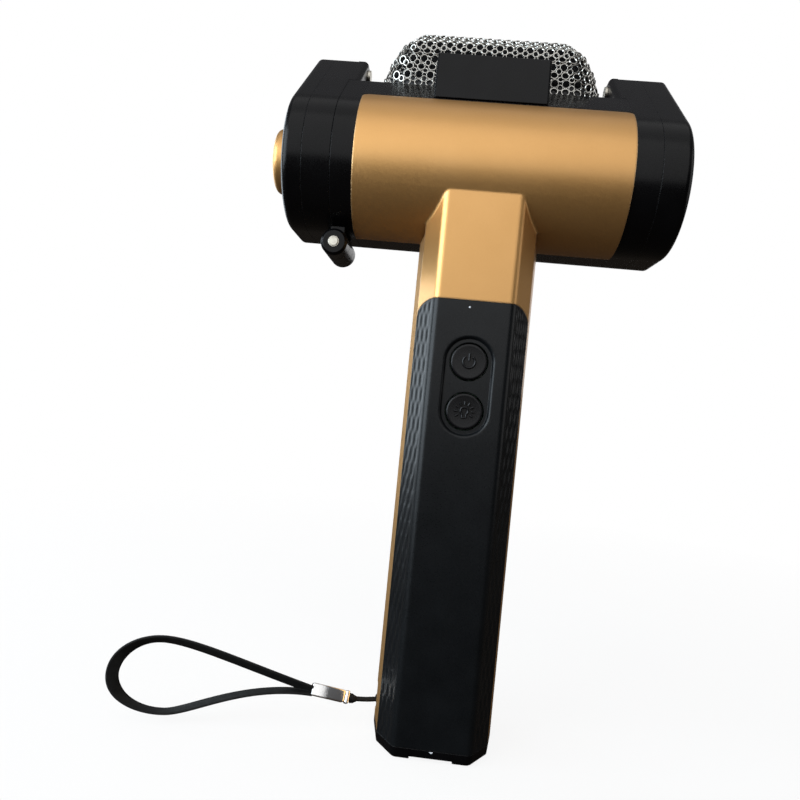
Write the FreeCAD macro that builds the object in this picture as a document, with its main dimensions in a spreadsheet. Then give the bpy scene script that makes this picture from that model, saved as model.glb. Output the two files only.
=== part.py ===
"""T-shaped handheld karaoke microphone: a barrel head with a hinged end door, a mesh microphone
basket on top, a straight grip with two push buttons, and a wrist strap.

Frame: +Z up along the handle, +X along the barrel away from the hinged door, -Y towards the buttons.
The origin is the centre of the bottom cap's underside. Millimetres throughout.
"""
import FreeCAD, Part
import os
import re
import Sketcher

DIMENSIONS = {
    # barrel head, seen from its end
    "head_axis": 210.0,          # height of the barrel's centre line
    "barrel_radius": 26.0,
    "shell_radius": 26.5,        # the gold shell stands slightly proud of the black ends
    "shell_skin": 2.0,
    "shell_top_angle": 58.0,     # where the gold shell stops, above the front horizontal
    "facet_angle": 50.0,         # where the round front runs out into the sloping upper facet
    "head_back": 28.0,
    "back_round": 10.0,          # rounded corner between the underside and the back
    "deck_height": 243.0,
    "lug_height": 260.0,
    "wall": 2.5,
    "corner_round": 3.0,
    "end_round": 2.5,            # rim of the two outer covers
    "housing_wall": 4.1,         # the tube under the gold shell is thicker than the black ends
    "sound_hole_radius": 1.6,
    "sound_hole_pitch": 6.0,
    "lug_round": 2.0,
    "neck_round": 1.2,           # where the neck runs into the barrel
    # stations along the barrel
    "left_end": -72.4,
    "door_split": -65.1,
    "door_line": -54.9,
    "gold_left": -46.9,
    "gold_right": 49.3,
    "right_seam": 58.4,
    "right_end": 69.0,
    "lug_left": -51.0,
    "lug_right": 46.0,
    # door hinge
    "hinge_across": -52.8,
    "hinge_height": 178.6,
    "hinge_front": -13.0,
    "hinge_length": 24.0,
    "hinge_gap": 0.2,
    "knuckle_radius": 4.9,
    "pin_radius": 2.0,
    "pin_tip_radius": 1.6,
    "pin_tip_height": 0.3,
    "knuckle_chamfer": 0.9,
    "web_setback": 4.0,
    "running_gap": 0.05,
    "part_gap": 0.1,
    # dial
    "dial_radius": 12.0,
    "dial_height": 6.5,
    "dial_shaft_radius": 3.0,
    "dial_shaft_length": 8.0,
    "dial_round": 2.0,
    "encoder_half": 7.0,
    "encoder_board_half": 14.0,
    # microphone basket
    "basket_centre": -0.9,
    "basket_half_width": 41.9,
    "basket_front": 0.0,
    "basket_back": 24.0,
    "basket_top": 266.5,
    "basket_round": 10.5,
    "basket_skin": 1.2,
    "foam_thickness": 3.0,
    "capsule_radius": 5.0,
    "block_half_width": 20.7,
    "block_top": 251.0,
    "block_front": -11.0,        # where the block's sloping face ends at its top
    "block_round": 1.0,
    # handle section
    "front_half_width": 13.5,
    "shoulder_half_width": 19.9,
    "shoulder_depth": 14.0,
    "widest": 22.0,
    "half_depth": 23.5,
    "handle_wall": 2.2,
    "crease_round": 3.0,
    "cap_height": 4.0,
    "notch_half_width": 7.5,
    "notch_height": 1.3,
    "notch_depth": 4.5,
    "grip_top": 160.0,
    "grip_corner": 6.4,          # rounded top corners of the black front, on the slanting sides
    # buttons
    "power_height": 138.8,
    "light_height": 121.6,
    "button_radius": 6.25,
    "recess_depth": 1.0,
    "recess_half_width": 8.5,
    "led_radius": 1.0,
    "led_across": -1.5,
    "led_height": 157.6,
    # battery
    "cell_radius": 9.2,
    "cell_length": 65.0,
    # speaker
    "speaker_radius": 20.5,
    "speaker_opening": 17.0,
    "speaker_flange": 1.5,
    "speaker_cup_length": 12.0,
    "magnet_radius": 13.0,
    "magnet_length": 8.0,
    # fasteners and boards
    "cover_thickness": 2.6,
    "screw_radius": 1.0,
    "screw_head_radius": 2.0,
    "screw_head_height": 1.2,
    "low_screw_height": 32.0,
    "boss_radius": 3.0,
    "spine_half_width": 15.0,
    "spine_thickness": 2.5,
    "post_radius": 1.5,
    "switch_board_face": -12.4,
    "magnet_disc_radius": 2.5,
    "magnet_disc_height": 2.0,
    "board_thickness": 1.6,
    # strap
    "strap_height": 10.0,
    "strap_pin_depth": 19.9,
    "strap_pin_radius": 0.7,
    "cord_radius": 0.9,
    "cord_length": 12.4,
    "strap_lean": 14.0,          # how far the strap turns towards the front, in degrees
    "clasp_rise": 12.0,          # how far the clasp tips up, in degrees
    "clasp_length": 14.7,
    "clasp_height": 4.5,
    "strap_reach": 99.0,
    "loop_height": 28.6,
    "loop_rise": 7.7,
    "webbing_width": 4.0,
    "webbing_thickness": 1.2,
}

HEALING = (0.001, 0.001, 0.01)   # working, smallest and largest tolerance when a filleted shape is mended

doc = FreeCAD.newDocument("karaoke_microphone")
sheet = doc.addObject("Spreadsheet::Sheet", "Dimensions")
for row, (alias, number) in enumerate(DIMENSIONS.items(), start=1):
    sheet.set(f"A{row}", alias)
    sheet.set(f"B{row}", str(number))
    sheet.setAlias(f"B{row}", alias)
doc.recompute()

subparts = []


# ---------------------------------------------------------------- helpers

def bound(text):
    """Write a formula of dimension names as an expression on the sheet."""
    return re.sub(r"[a-z_]{3,}", lambda m: "Dimensions." + m[0] if m[0] in DIMENSIONS else m[0], str(text))


def size(text):
    """The present value of a formula of dimension names."""
    return float(sheet.evalExpression(bound(text)))


def bind(thing, **formulas):
    """Bind properties of a document object to formulas; double underscores stand for dots."""
    for name, formula in formulas.items():
        thing.setExpression(name.replace("__", "."), bound(formula))
    return thing


def place(thing, x=0, y=0, z=0, axis=None, angle=0):
    """Put an object at a place given by formulas, turned about an axis first."""
    if axis:
        thing.Placement = FreeCAD.Placement(FreeCAD.Vector(), FreeCAD.Rotation(FreeCAD.Vector(*axis), angle))
    return bind(thing, Placement__Base__x=x, Placement__Base__y=y, Placement__Base__z=z)


def finished(thing, label):
    """Name a sub-part and put it on the list of files to write."""
    thing.Label = label
    subparts.append(thing)
    return thing


def box(name, x, y, z):
    """A block between pairs of formulas along each axis."""
    block = doc.addObject("Part::Box", name)
    bind(block, Length=f"({x[1]}) - ({x[0]})", Width=f"({y[1]}) - ({y[0]})", Height=f"({z[1]}) - ({z[0]})")
    return place(block, x[0], y[0], z[0])


TURN = {"x": ((0, 1, 0), 90), "y": ((1, 0, 0), -90), "z": (None, 0)}


def rod(name, along, radius, length, x=0, y=0, z=0):
    """A cylinder that starts at a point and runs along +X, +Y or +Z."""
    cylinder = bind(doc.addObject("Part::Cylinder", name), Radius=radius, Height=length)
    axis, angle = TURN[along]
    return place(cylinder, x, y, z, axis, angle)


def cut(name, base, *tools):
    """A base object less one or more tools."""
    for count, tool in enumerate(tools):
        result = doc.addObject("Part::Cut", f"{name}_cut{count}")
        result.Base = base
        result.Tool = tool
        base = result
    return base


def fuse(name, *pieces):
    """Several objects joined into one."""
    result = doc.addObject("Part::MultiFuse", name + "_fuse")
    result.Shapes = list(pieces)
    return result


def group(name, *pieces):
    """Separate solids kept together as one sub-part."""
    result = doc.addObject("Part::Compound", name + "_group")
    result.Links = list(pieces)
    return result


def plane_of(body, role):
    return next(item for item in body.Origin.OriginFeatures if item.Role == role)


def sketch_on(body, name, role, offset=0):
    """An empty sketch on one of the body's own planes, moved along that plane's normal by a formula."""
    sketch = body.newObject("Sketcher::SketchObject", name)
    sketch.AttachmentSupport = [(plane_of(body, role), "")]
    sketch.MapMode = "FlatFace"
    bind(sketch, AttachmentOffset__Base__z=offset)
    return sketch


def pin_corner(sketch, edge, end, corner):
    """Hold a sketch point at a pair of formulas."""
    for kind, formula in zip(("DistanceX", "DistanceY"), corner):
        index = sketch.addConstraint(Sketcher.Constraint(kind, edge, end, size(formula)))
        sketch.setExpression(f"Constraints[{index}]", bound(formula))


def outline(sketch, corners, arcs=()):
    """Close an outline through corners given as pairs of formulas.

    arcs maps a corner's index to the (radius, centre) of the arc that leads from it to the next corner.
    """
    arcs = dict(arcs)
    points = [FreeCAD.Vector(size(across), size(up), 0) for across, up in corners]
    ends = []
    for index, start in enumerate(points):
        stop = points[(index + 1) % len(points)]
        if index in arcs:
            radius, centre = arcs[index]
            middle = FreeCAD.Vector(size(centre[0]), size(centre[1]), 0)
            halfway = (start - middle) + (stop - middle)
            halfway.normalize()
            edge = sketch.addGeometry(Part.Arc(start, middle + halfway * size(radius), stop))
            turn = sketch.addConstraint(Sketcher.Constraint("Radius", edge, size(radius)))
            sketch.setExpression(f"Constraints[{turn}]", bound(radius))
        else:
            edge = sketch.addGeometry(Part.LineSegment(start, stop))
        first = 1 if sketch.getPoint(edge, 1).distanceToPoint(start) < 0.001 else 2
        ends.append((edge, first, 3 - first))
    for index, (edge, first, _) in enumerate(ends):
        before, _, last = ends[index - 1]
        sketch.addConstraint(Sketcher.Constraint("Coincident", before, last, edge, first))
        pin_corner(sketch, edge, first, corners[index])
    return sketch


def circles(sketch, radius, centres):
    """Add a circle of one radius at each pair of formulas."""
    for centre in centres:
        start = FreeCAD.Vector(size(centre[0]), size(centre[1]), 0)
        edge = sketch.addGeometry(Part.Circle(start, FreeCAD.Vector(0, 0, 1), size(radius)))
        index = sketch.addConstraint(Sketcher.Constraint("Radius", edge, size(radius)))
        sketch.setExpression(f"Constraints[{index}]", bound(radius))
        pin_corner(sketch, edge, 3, centre)
    return sketch


def rectangle(sketch, across, up):
    """Add a rectangle between two pairs of formulas."""
    corners = [(across[0], up[0]), (across[1], up[0]), (across[1], up[1]), (across[0], up[1])]
    return outline(sketch, corners)


def pad(body, sketch, length):
    """Raise a sketch along its plane's normal."""
    feature = body.newObject("PartDesign::Pad", sketch.Name + "_pad")
    feature.Profile = sketch
    return bind(feature, Length=length)


def pocket(body, sketch, length, reverse=True):
    """Cut a sketch out of the body; with reverse it cuts along its plane's normal."""
    doc.recompute()
    before = body.Shape.Volume
    feature = body.newObject("PartDesign::Pocket", sketch.Name + "_pocket")
    feature.Profile = sketch
    feature.Reversed = reverse
    bind(feature, Length=length)
    doc.recompute()
    if not body.Shape.Volume < before:
        raise ValueError(f"{feature.Name} cuts nothing")
    return feature


def round_edges(body, radius, wanted):
    """Round every edge of the body's latest shape that the test picks."""
    doc.recompute()
    feature = body.Tip
    names = [f"Edge{n}" for n, edge in enumerate(feature.Shape.Edges, start=1) if wanted(edge)]
    fillet = body.newObject("PartDesign::Fillet", body.Name + f"_round{len(body.Group)}")
    fillet.Base = (feature, names)
    bind(fillet, Radius=radius)
    doc.recompute()
    return fillet


def straight_along(edge, axis):
    """True for a straight edge that runs along a unit vector."""
    if len(edge.Vertexes) < 2:
        return False
    reach = edge.Vertexes[-1].Point - edge.Vertexes[0].Point
    return edge.Length - reach.Length < 0.001 and abs(reach.dot(axis)) > 0.999 * reach.Length


def in_plane(edge, axis, height):
    """True for an edge that lies wholly at one height along a unit vector."""
    box_of = edge.BoundBox
    low = FreeCAD.Vector(box_of.XMin, box_of.YMin, box_of.ZMin).dot(axis)
    high = FreeCAD.Vector(box_of.XMax, box_of.YMax, box_of.ZMax).dot(axis)
    return abs(low - height) < 0.001 and abs(high - height) < 0.001


ALONG_X = FreeCAD.Vector(1, 0, 0)
ALONG_Z = FreeCAD.Vector(0, 0, 1)


# ---------------------------------------------------------------- outlines that several pieces share

def facet_point(radius):
    """Where the round front of a given radius runs out into the upper facet."""
    return (f"-({radius}) * cos(facet_angle)", f"head_axis + ({radius}) * sin(facet_angle)")


def facet_at(height, inset="0"):
    """The upper facet's place at a height, for an outline set in from the outside by a distance."""
    start_y, start_z = facet_point(f"barrel_radius - {inset}")
    return (f"{start_y} + ({height} - ({start_z})) * tan(facet_angle)", height)


def back_corner(inset="0"):
    """The two ends of the rounded corner between the back and the underside."""
    low = "head_axis - barrel_radius"
    return [(f"head_back - {inset}", f"{low} + back_round"), ("head_back - back_round", f"{low} + {inset}")]


def back_arc(inset="0"):
    """The radius and centre of that rounded corner."""
    return (f"back_round - {inset}", ("head_back - back_round", "head_axis - barrel_radius + back_round"))


def head_outline(sketch, top, inset="0"):
    """End view of the head: round front, sloping upper facet, flat top, back and underside."""
    radius = f"barrel_radius - {inset}"
    corners = [
        ("0", f"head_axis - ({radius})"),
        facet_point(radius),
        facet_at(f"{top} - {inset}", inset),
        (f"head_back - {inset}", f"{top} - {inset}"),
    ] + back_corner(inset)
    return outline(sketch, corners, {0: (radius, ("0", "head_axis")), 4: back_arc(inset)})


def handle_corners(inset="0"):
    """The handle's section, half of it, from the front face round to the back face."""
    face = f"front_half_width - 0.5 * {inset}"
    shoulder = f"shoulder_half_width - {inset}"
    return [
        (face, f"-half_depth + {inset}"),
        (shoulder, f"-shoulder_depth + 0.3 * {inset}"),
        (f"widest - {inset}", "0"),
        (shoulder, f"shoulder_depth - 0.3 * {inset}"),
        (face, f"half_depth - {inset}"),
    ]


def both_sides(corners):
    """Corners on the +X side followed by their mirror images, so that they close round the section."""
    return corners + [(f"-({across})", up) for across, up in reversed(corners)]


def creases(edge):
    """The long vertical edges between a flat front or back face and its slanting neighbours."""
    middle = edge.CenterOfMass
    return straight_along(edge, ALONG_Z) and abs(abs(middle.y) - size("half_depth")) < 0.01


# ---------------------------------------------------------------- head: black ends, gold shell, housing

def head_slice(label, left, right, top="lug_height"):
    """A full slice of the head between two stations, with its long corners rounded."""
    body = doc.addObject("PartDesign::Body", label + "_slice")
    pad(body, head_outline(sketch_on(body, label + "_section", "YZ_Plane", left), top), f"{right} - ({left})")
    return body


def long_corners(edge):
    """The long edges at the top and back of the head."""
    return straight_along(edge, ALONG_X) and edge.CenterOfMass.z > size("deck_height") - 0.01


def hollow(body, label, left, length):
    """Take the inside out of a slice, from a station onwards."""
    inside = head_outline(sketch_on(body, label + "_inside", "YZ_Plane", left), "deck_height", "wall")
    return pocket(body, inside, length)


def lug_overhang(body, label, start, length):
    """The part of a lug that reaches in over the deck."""
    base = "deck_height + 3 * part_gap"
    corners = [facet_at(base), facet_at("lug_height"), ("head_back", "lug_height"), ("head_back", base)]
    sketch = outline(sketch_on(body, label + "_overhang", "YZ_Plane", start), corners)
    return pad(body, sketch, length)


KNUCKLE = "(hinge_length - 2 * hinge_gap) / 3"


def knuckle(name, number, side):
    """One hinge knuckle with the web that joins it to the slice on its side (-1 door, 1 collar)."""
    start = f"hinge_front + {number} * ({KNUCKLE} + hinge_gap)"
    barrel = rod(name + "_barrel", "y", "knuckle_radius", KNUCKLE, "hinge_across", start, "hinge_height")
    if number == 0:
        barrel = chamfered(name, barrel, start)
    if side < 0:
        across = ("hinge_across - knuckle_radius", "door_line - part_gap")
    else:
        across = ("door_line + part_gap", "hinge_across + 0.6 * knuckle_radius")
    web = box(name + "_web", across, (f"{start} + web_setback", f"{start} + {KNUCKLE}"),
              ("hinge_height", "head_axis - barrel_radius + 1"))
    return [barrel, web]


def chamfered(name, barrel, start):
    """The front knuckle with its rim cut back to a slope."""
    rim = rod(name + "_rim", "y", "knuckle_radius + 1", "knuckle_chamfer", "hinge_across", start,
              "hinge_height")
    slope = bind(doc.addObject("Part::Cone", name + "_slope"), Radius1="knuckle_radius - knuckle_chamfer",
                 Radius2="knuckle_radius", Height="knuckle_chamfer")
    axis, angle = TURN["y"]
    place(slope, "hinge_across", start, "hinge_height", axis, angle)
    return cut(name + "_chamfered", barrel, cut(name + "_rim_ring", rim, slope))


def pin_hole(name):
    """The bore through all the knuckles."""
    return rod(name, "y", "pin_radius + running_gap", "hinge_length + 2", "hinge_across", "hinge_front - 1",
               "hinge_height")


def window_sides(inset):
    """The service window in the back of the head, set in by a distance on each side."""
    return ((f"gold_left + 7 + {inset}", f"gold_right - 7 - {inset}"),
            (f"head_axis - 18 + {inset}", f"deck_height - 8 - {inset}"))


def cover_screw_places():
    """The rear cover's four screws, as pairs across and up."""
    across, up = window_sides("2")
    return [(left_right, low_high) for left_right in across for low_high in up]


def make_door_cover():
    """Outer half of the hinged door, bored for the dial's shaft."""
    label = "door_cover"
    body = head_slice(label, "left_end", "door_split")
    round_edges(body, "corner_round", long_corners)
    round_edges(body, "end_round", lambda edge: in_plane(edge, ALONG_X, size("left_end")))
    hollow(body, label, "left_end + wall", "door_split - left_end")
    bore = circles(sketch_on(body, label + "_bore", "YZ_Plane", "left_end - 1"),
                   "dial_shaft_radius + running_gap", [("0", "head_axis")])
    pocket(body, bore, "wall + 2")
    finished(body, label)


def make_door_frame():
    """Inner half of the door, with a lug that reaches in over the deck and the middle hinge knuckle."""
    label = "door_frame"
    body = head_slice(label, "door_split + part_gap", "door_line - part_gap")
    round_edges(body, "corner_round", long_corners)
    lug_overhang(body, label, "door_line - 3 * part_gap", "lug_left - door_line + 3 * part_gap")
    round_edges(body, "lug_round", lambda edge: in_plane(edge, ALONG_X, size("lug_left")))
    hollow(body, label, "door_split - 1", "door_line - door_split + 2")
    joined = fuse(label, body, *knuckle(label + "_knuckle", 1, -1))
    finished(cut(label, joined, pin_hole(label + "_bore")), label)


def make_left_collar():
    """Fixed ring between the door and the gold shell, with the two outer hinge knuckles."""
    label = "left_collar"
    body = head_slice(label, "door_line + part_gap", "gold_left - part_gap", "deck_height")
    hollow(body, label, "door_line - 1", "gold_left - door_line + 2")
    knuckles = knuckle(label + "_knuckle_a", 0, 1) + knuckle(label + "_knuckle_b", 2, 1)
    joined = fuse(label, body, *knuckles)
    finished(cut(label, joined, pin_hole(label + "_bore")), label)


def make_right_end():
    """Fixed right end: a housing with the second lug, and a cover perforated for the loudspeaker."""
    label = "right_end_housing"
    body = head_slice(label, "gold_right + part_gap", "right_seam - part_gap")
    round_edges(body, "corner_round", long_corners)
    lug_overhang(body, label, "lug_right", "gold_right - lug_right + 3 * part_gap")
    round_edges(body, "lug_round", lambda edge: in_plane(edge, ALONG_X, size("lug_right")))
    hollow(body, label, "gold_right - 1", "right_seam - gold_right + 2")
    finished(body, label)

    label = "right_end_cover"
    body = head_slice(label, "right_seam", "right_end")
    round_edges(body, "corner_round", long_corners)
    round_edges(body, "end_round", lambda edge: in_plane(edge, ALONG_X, size("right_end")))
    hollow(body, label, "right_seam - 1", "right_end - right_seam - wall + 1")
    centres = [("0", "head_axis")]
    for circle in (1, 2):
        count = 6 * circle
        for step in range(count):
            turn = 360 * step / count
            centres.append((f"{circle} * sound_hole_pitch * cos({turn})",
                            f"head_axis + {circle} * sound_hole_pitch * sin({turn})"))
    holes = circles(sketch_on(body, label + "_holes", "YZ_Plane", "right_end - wall - 1"),
                    "sound_hole_radius", centres)
    pocket(body, holes, "wall + 2")
    finished(body, label)


def shell_corners(edge):
    """The short edges at the ends of the gold shell's top."""
    turn = FreeCAD.Rotation(FreeCAD.Vector(-1, 0, 0), size("shell_top_angle"))
    across_skin = turn.multVec(FreeCAD.Vector(0, -1, 0))
    return straight_along(edge, across_skin) and edge.Length < size("shell_skin") + 0.1


def neck_joint(edge):
    """The edges where the neck's faces run into the barrel."""
    reach = FreeCAD.Vector(0, 0, size("head_axis"))
    on_barrel = all(abs((point - FreeCAD.Vector(point.x, 0, 0) - reach).Length - size("shell_radius")) < 0.01
                    for point in edge.discretize(5))
    inside_neck = max(abs(edge.BoundBox.XMin), abs(edge.BoundBox.XMax)) < size("shoulder_half_width") + 0.01
    return on_barrel and inside_neck and edge.BoundBox.YMin < -size("shoulder_depth") - 0.1


def make_front_shell():
    """Gold sleeve round the front of the barrel, in one piece with the neck."""
    label = "front_shell"
    inner = "(shell_radius - shell_skin)"
    body = doc.addObject("PartDesign::Body", label)
    low_outer = "head_axis - shell_radius"
    low_inner = f"head_axis - {inner}"

    def at_top(radius):
        return (f"-{radius} * cos(shell_top_angle)", f"head_axis + {radius} * sin(shell_top_angle)")

    corners = [("0", low_outer), at_top("shell_radius"), at_top(inner), ("0", low_inner),
               ("shell_skin", low_inner), ("shell_skin", low_outer)]
    centre = ("0", "head_axis")
    section = sketch_on(body, label + "_section", "YZ_Plane", "gold_left")
    outline(section, corners, {0: ("shell_radius", centre), 2: (inner, centre)})
    pad(body, section, "gold_right - gold_left")
    round_edges(body, "corner_round", shell_corners)

    low = "grip_top - grip_corner"
    pad(body, upright(body, label + "_neck", low, handle_corners()[:2]), f"head_axis - 5 - ({low})")
    round_edges(body, "crease_round", creases)
    round_edges(body, "neck_round", neck_joint)

    inside = upright(body, label + "_neck_inside", f"{low} - 1", handle_corners("handle_wall")[:2])
    pocket(body, inside, f"head_axis - 13 - ({low})")
    window = sketch_on(body, label + "_grip_window", "XZ_Plane", "half_depth + 1")
    corner, shoulder = ("front_half_width", "shoulder_half_width")
    below = f"{low} - 1"
    corners = [(corner, "grip_top"), (shoulder, low), (shoulder, below),
               (f"-{shoulder}", below), (f"-{shoulder}", low), (f"-{corner}", "grip_top")]
    outline(window, corners, {0: ("grip_corner", (corner, low)), 4: ("grip_corner", (f"-{corner}", low))})
    pocket(body, window, "half_depth", reverse=False)
    barrel = sketch_on(body, label + "_barrel_inside", "YZ_Plane", "gold_left")
    outline(barrel, [("0", low_inner), ("0", "head_axis"), (f"-{inner}", "head_axis")],
            {2: (inner, centre)})
    pocket(body, barrel, "gold_right - gold_left")
    finished(body, label)


def basket_sides(inset):
    """The microphone basket's two sides, set in by a distance."""
    return (f"basket_centre - basket_half_width + {inset}", f"basket_centre + basket_half_width - {inset}")


def make_head_housing():
    """Black tube inside and behind the gold shell, open above for the microphone and behind for service."""
    label = "head_housing"
    inner = "(shell_radius - shell_skin - part_gap)"
    body = doc.addObject("PartDesign::Body", label)
    low = f"head_axis - {inner}"
    section = sketch_on(body, label + "_section", "YZ_Plane", "gold_left")
    step_y, step_z = (f"-{inner} * cos(shell_top_angle)", f"head_axis + {inner} * sin(shell_top_angle)")
    proud = "(shell_radius + part_gap)"
    corners = [("0", low), (step_y, step_z),
               (f"-{proud} * cos(shell_top_angle + 1)", f"head_axis + {proud} * sin(shell_top_angle + 1)"),
               facet_at("deck_height"), ("head_back", "deck_height")] + back_corner()
    ledge = "shell_skin + part_gap"
    corners += [(ledge, "head_axis - barrel_radius"), (ledge, low)]
    outline(section, corners, {0: (inner, ("0", "head_axis")), 5: back_arc()})
    pad(body, section, "gold_right - gold_left")

    inside = sketch_on(body, label + "_inside", "YZ_Plane", "gold_left - 1")
    head_outline(inside, "deck_height", "housing_wall")
    pocket(body, inside, "gold_right - gold_left + 2")
    deck = sketch_on(body, label + "_deck_opening", "XY_Plane", "deck_height - 6")
    rectangle(deck, basket_sides("12"), ("basket_front + 7", "basket_back - 5"))
    pocket(body, deck, "10")
    throat = sketch_on(body, label + "_throat", "XY_Plane", "grip_top")
    rectangle(throat, ("-widest + 8", "widest - 8"), ("-half_depth + 8", "half_depth - 8"))
    pocket(body, throat, "head_axis - grip_top - 18")
    window = sketch_on(body, label + "_window", "XZ_Plane", "-head_back - 1")
    rectangle(window, *window_sides("4"))
    pocket(body, window, "8")
    rebate = sketch_on(body, label + "_rebate", "XZ_Plane", "-head_back - 1")
    rectangle(rebate, *window_sides("0"))
    pocket(body, rebate, "cover_thickness + 1")
    screw_bores = sketch_on(body, label + "_screw_bores", "XZ_Plane", "-head_back - 1")
    circles(screw_bores, "screw_radius + running_gap", cover_screw_places())
    pocket(body, screw_bores, "8")
    finished(body, label)


def make_hinge_pin():
    """Steel pin through the knuckles, held by a clip behind them."""
    front = "hinge_front - 0.3"
    shank = rod("pin_shank", "y", "pin_radius", "hinge_length + 1.8", "hinge_across", front, "hinge_height")
    tip = rod("pin_tip", "y", "pin_tip_radius", "pin_tip_height + 1", "hinge_across",
              f"{front} - pin_tip_height", "hinge_height")
    finished(fuse("hinge_pin", shank, tip), "hinge_pin")
    rim = rod("pin_clip_rim", "y", "pin_radius + 1.6", "0.7", "hinge_across",
              "hinge_front + hinge_length + 0.2", "hinge_height")
    finished(cut("pin_clip", rim, pin_hole("pin_clip_bore")), "pin_clip")


def screw(name, along, x, y, z, length, heads_up=1):
    """A pan screw whose head starts at a point; heads_up says which way along the axis the head stands."""
    spot = {"x": x, "y": y, "z": z}
    head = rod(name + "_head", along, "screw_head_radius", "screw_head_height", **spot)
    if heads_up > 0:
        spot[along] = f"({spot[along]}) - ({length})"
    else:
        spot[along] = f"({spot[along]}) + screw_head_height"
    return fuse(name, head, rod(name + "_shank", along, "screw_radius", length, **spot))


def make_rear_cover():
    """Plate over the service window, with four screws."""
    across, up = window_sides("part_gap")
    deep = ("head_back - cover_thickness + part_gap", "head_back - part_gap")
    plate = box("rear_cover_plate", across, deep, up)
    bores = []
    screws = []
    seat = "head_back - screw_head_height - 2 * part_gap"
    for number, (x, z) in enumerate(cover_screw_places()):
        shank_room = rod(f"cover_bore{number}", "y", "screw_radius + running_gap", "8", x, "head_back - 6", z)
        head_room = rod(f"cover_sink{number}", "y", "screw_head_radius + part_gap", "3", x, seat, z)
        bores += [shank_room, head_room]
        screws.append(screw(f"cover_screw{number}", "y", x, seat, z, "3"))
    finished(cut("rear_cover", plate, *bores), "rear_cover")
    finished(group("cover_screws", *screws), "cover_screws")


def make_dial():
    """Gold dial on the door with its shaft, and the encoder that it turns."""
    label = "volume_dial"
    body = doc.addObject("PartDesign::Body", label)
    outer = "left_end - dial_height - part_gap"
    face = circles(sketch_on(body, label + "_face", "YZ_Plane", outer), "dial_radius", [("0", "head_axis")])
    pad(body, face, "dial_height")
    round_edges(body, "dial_round", lambda edge: in_plane(edge, ALONG_X, size(outer)))
    shaft = circles(sketch_on(body, label + "_shaft", "YZ_Plane", "left_end - part_gap"),
                    "dial_shaft_radius", [("0", "head_axis")])
    pad(body, shaft, "dial_shaft_length")
    finished(body, label)

    can = box("encoder_can", ("left_end + wall + part_gap", "door_split + 1.6"),
              ("-encoder_half", "encoder_half"), ("head_axis - encoder_half", "head_axis + encoder_half"))
    bore = rod("encoder_bore", "x", "dial_shaft_radius + running_gap", "9", "left_end", "0", "head_axis")
    finished(cut("dial_encoder", can, bore), "dial_encoder")
    board_face = "door_split + 1.7"
    up = ("head_axis - encoder_board_half - 1", "head_axis + encoder_board_half + 1")
    finished(box("encoder_board_plate", (board_face, f"{board_face} + board_thickness"),
                 ("-encoder_board_half", "encoder_board_half"), up), "encoder_board")


def make_door_fittings():
    """Screw on the door lug, battery contact and the magnets that hold the door shut."""
    for label, face, way in (("door_lug_screw", "lug_left", -1), ("fixed_lug_screw", "lug_right", 1)):
        start = face if way < 0 else f"{face} - screw_head_height"
        finished(rod(label + "_head", "x", "screw_head_radius + 0.6", "screw_head_height", start, "20",
                     "lug_height - 6"), label)
    leaf = box("contact_leaf", ("door_split + 5", "gold_left + 1.5"), ("-3", "3"),
               ("head_axis + 2", "head_axis + 2.5"))
    up = ("head_axis - 3", "head_axis + 5")
    tip = box("contact_tip", ("gold_left + 1.5", "gold_left + 2"), ("-3", "3"), up)
    foot = box("contact_foot", ("door_split + 3.5", "door_split + 5"), ("-3", "3"), up)
    finished(fuse("door_contact", leaf, tip, foot), "door_contact")
    height = "deck_height - wall - 5"
    finished(rod("door_magnet_disc", "x", "magnet_disc_radius", "magnet_disc_height",
                 "door_line - 2 * part_gap - magnet_disc_height", "16", height), "door_magnet")
    finished(rod("collar_magnet_disc", "x", "magnet_disc_radius", "magnet_disc_height",
                 "door_line + 2 * part_gap", "16", height), "collar_magnet")


def make_battery():
    """Round cell across the barrel, reached through the door, in a cradle with an end contact."""
    start = "gold_left + 3"
    can = rod("cell_can", "x", "cell_radius", "cell_length - 1.5", f"{start} + 1.5", "0", "head_axis")
    button = rod("cell_button", "x", "3", "1.5", start, "0", "head_axis")
    finished(fuse("battery_cell", can, button), "battery_cell")
    bed = box("cradle_bed", (f"{start} + 2", f"{start} + cell_length - 2"),
              ("-cell_radius - 2", "cell_radius + 2"), ("head_axis - cell_radius - 3", "head_axis - 2"))
    groove = rod("cradle_groove", "x", "cell_radius + part_gap", "cell_length + 4", start, "0", "head_axis")
    finished(cut("battery_cradle", bed, groove), "battery_cradle")
    end = f"{start} + cell_length + part_gap"
    finished(box("battery_contact_plate", (end, f"{end} + 0.5"), ("-7", "7"),
                 ("head_axis - 9", "head_axis + 7")), "battery_contact")
    height = "head_axis + cell_radius + 3"
    finished(box("amplifier_board_plate", ("gold_left + 6", "gold_right - 25"), ("-4", "16"),
                 (height, f"{height} + board_thickness")), "amplifier_board")


def ring(name, inner, outer, start, length):
    """A tube round the barrel's centre line."""
    rim = rod(name + "_rim", "x", outer, length, start, "0", "head_axis")
    bore = rod(name + "_bore", "x", inner, f"({length}) + 2", f"{start} - 1", "0", "head_axis")
    return cut(name, rim, bore)


def cone(name, wide, narrow, start, length):
    """A cone along +X, wide end last."""
    solid = bind(doc.addObject("Part::Cone", name), Radius1=narrow, Radius2=wide, Height=length)
    return place(solid, start, "0", "head_axis", (0, 1, 0), 90)


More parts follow.
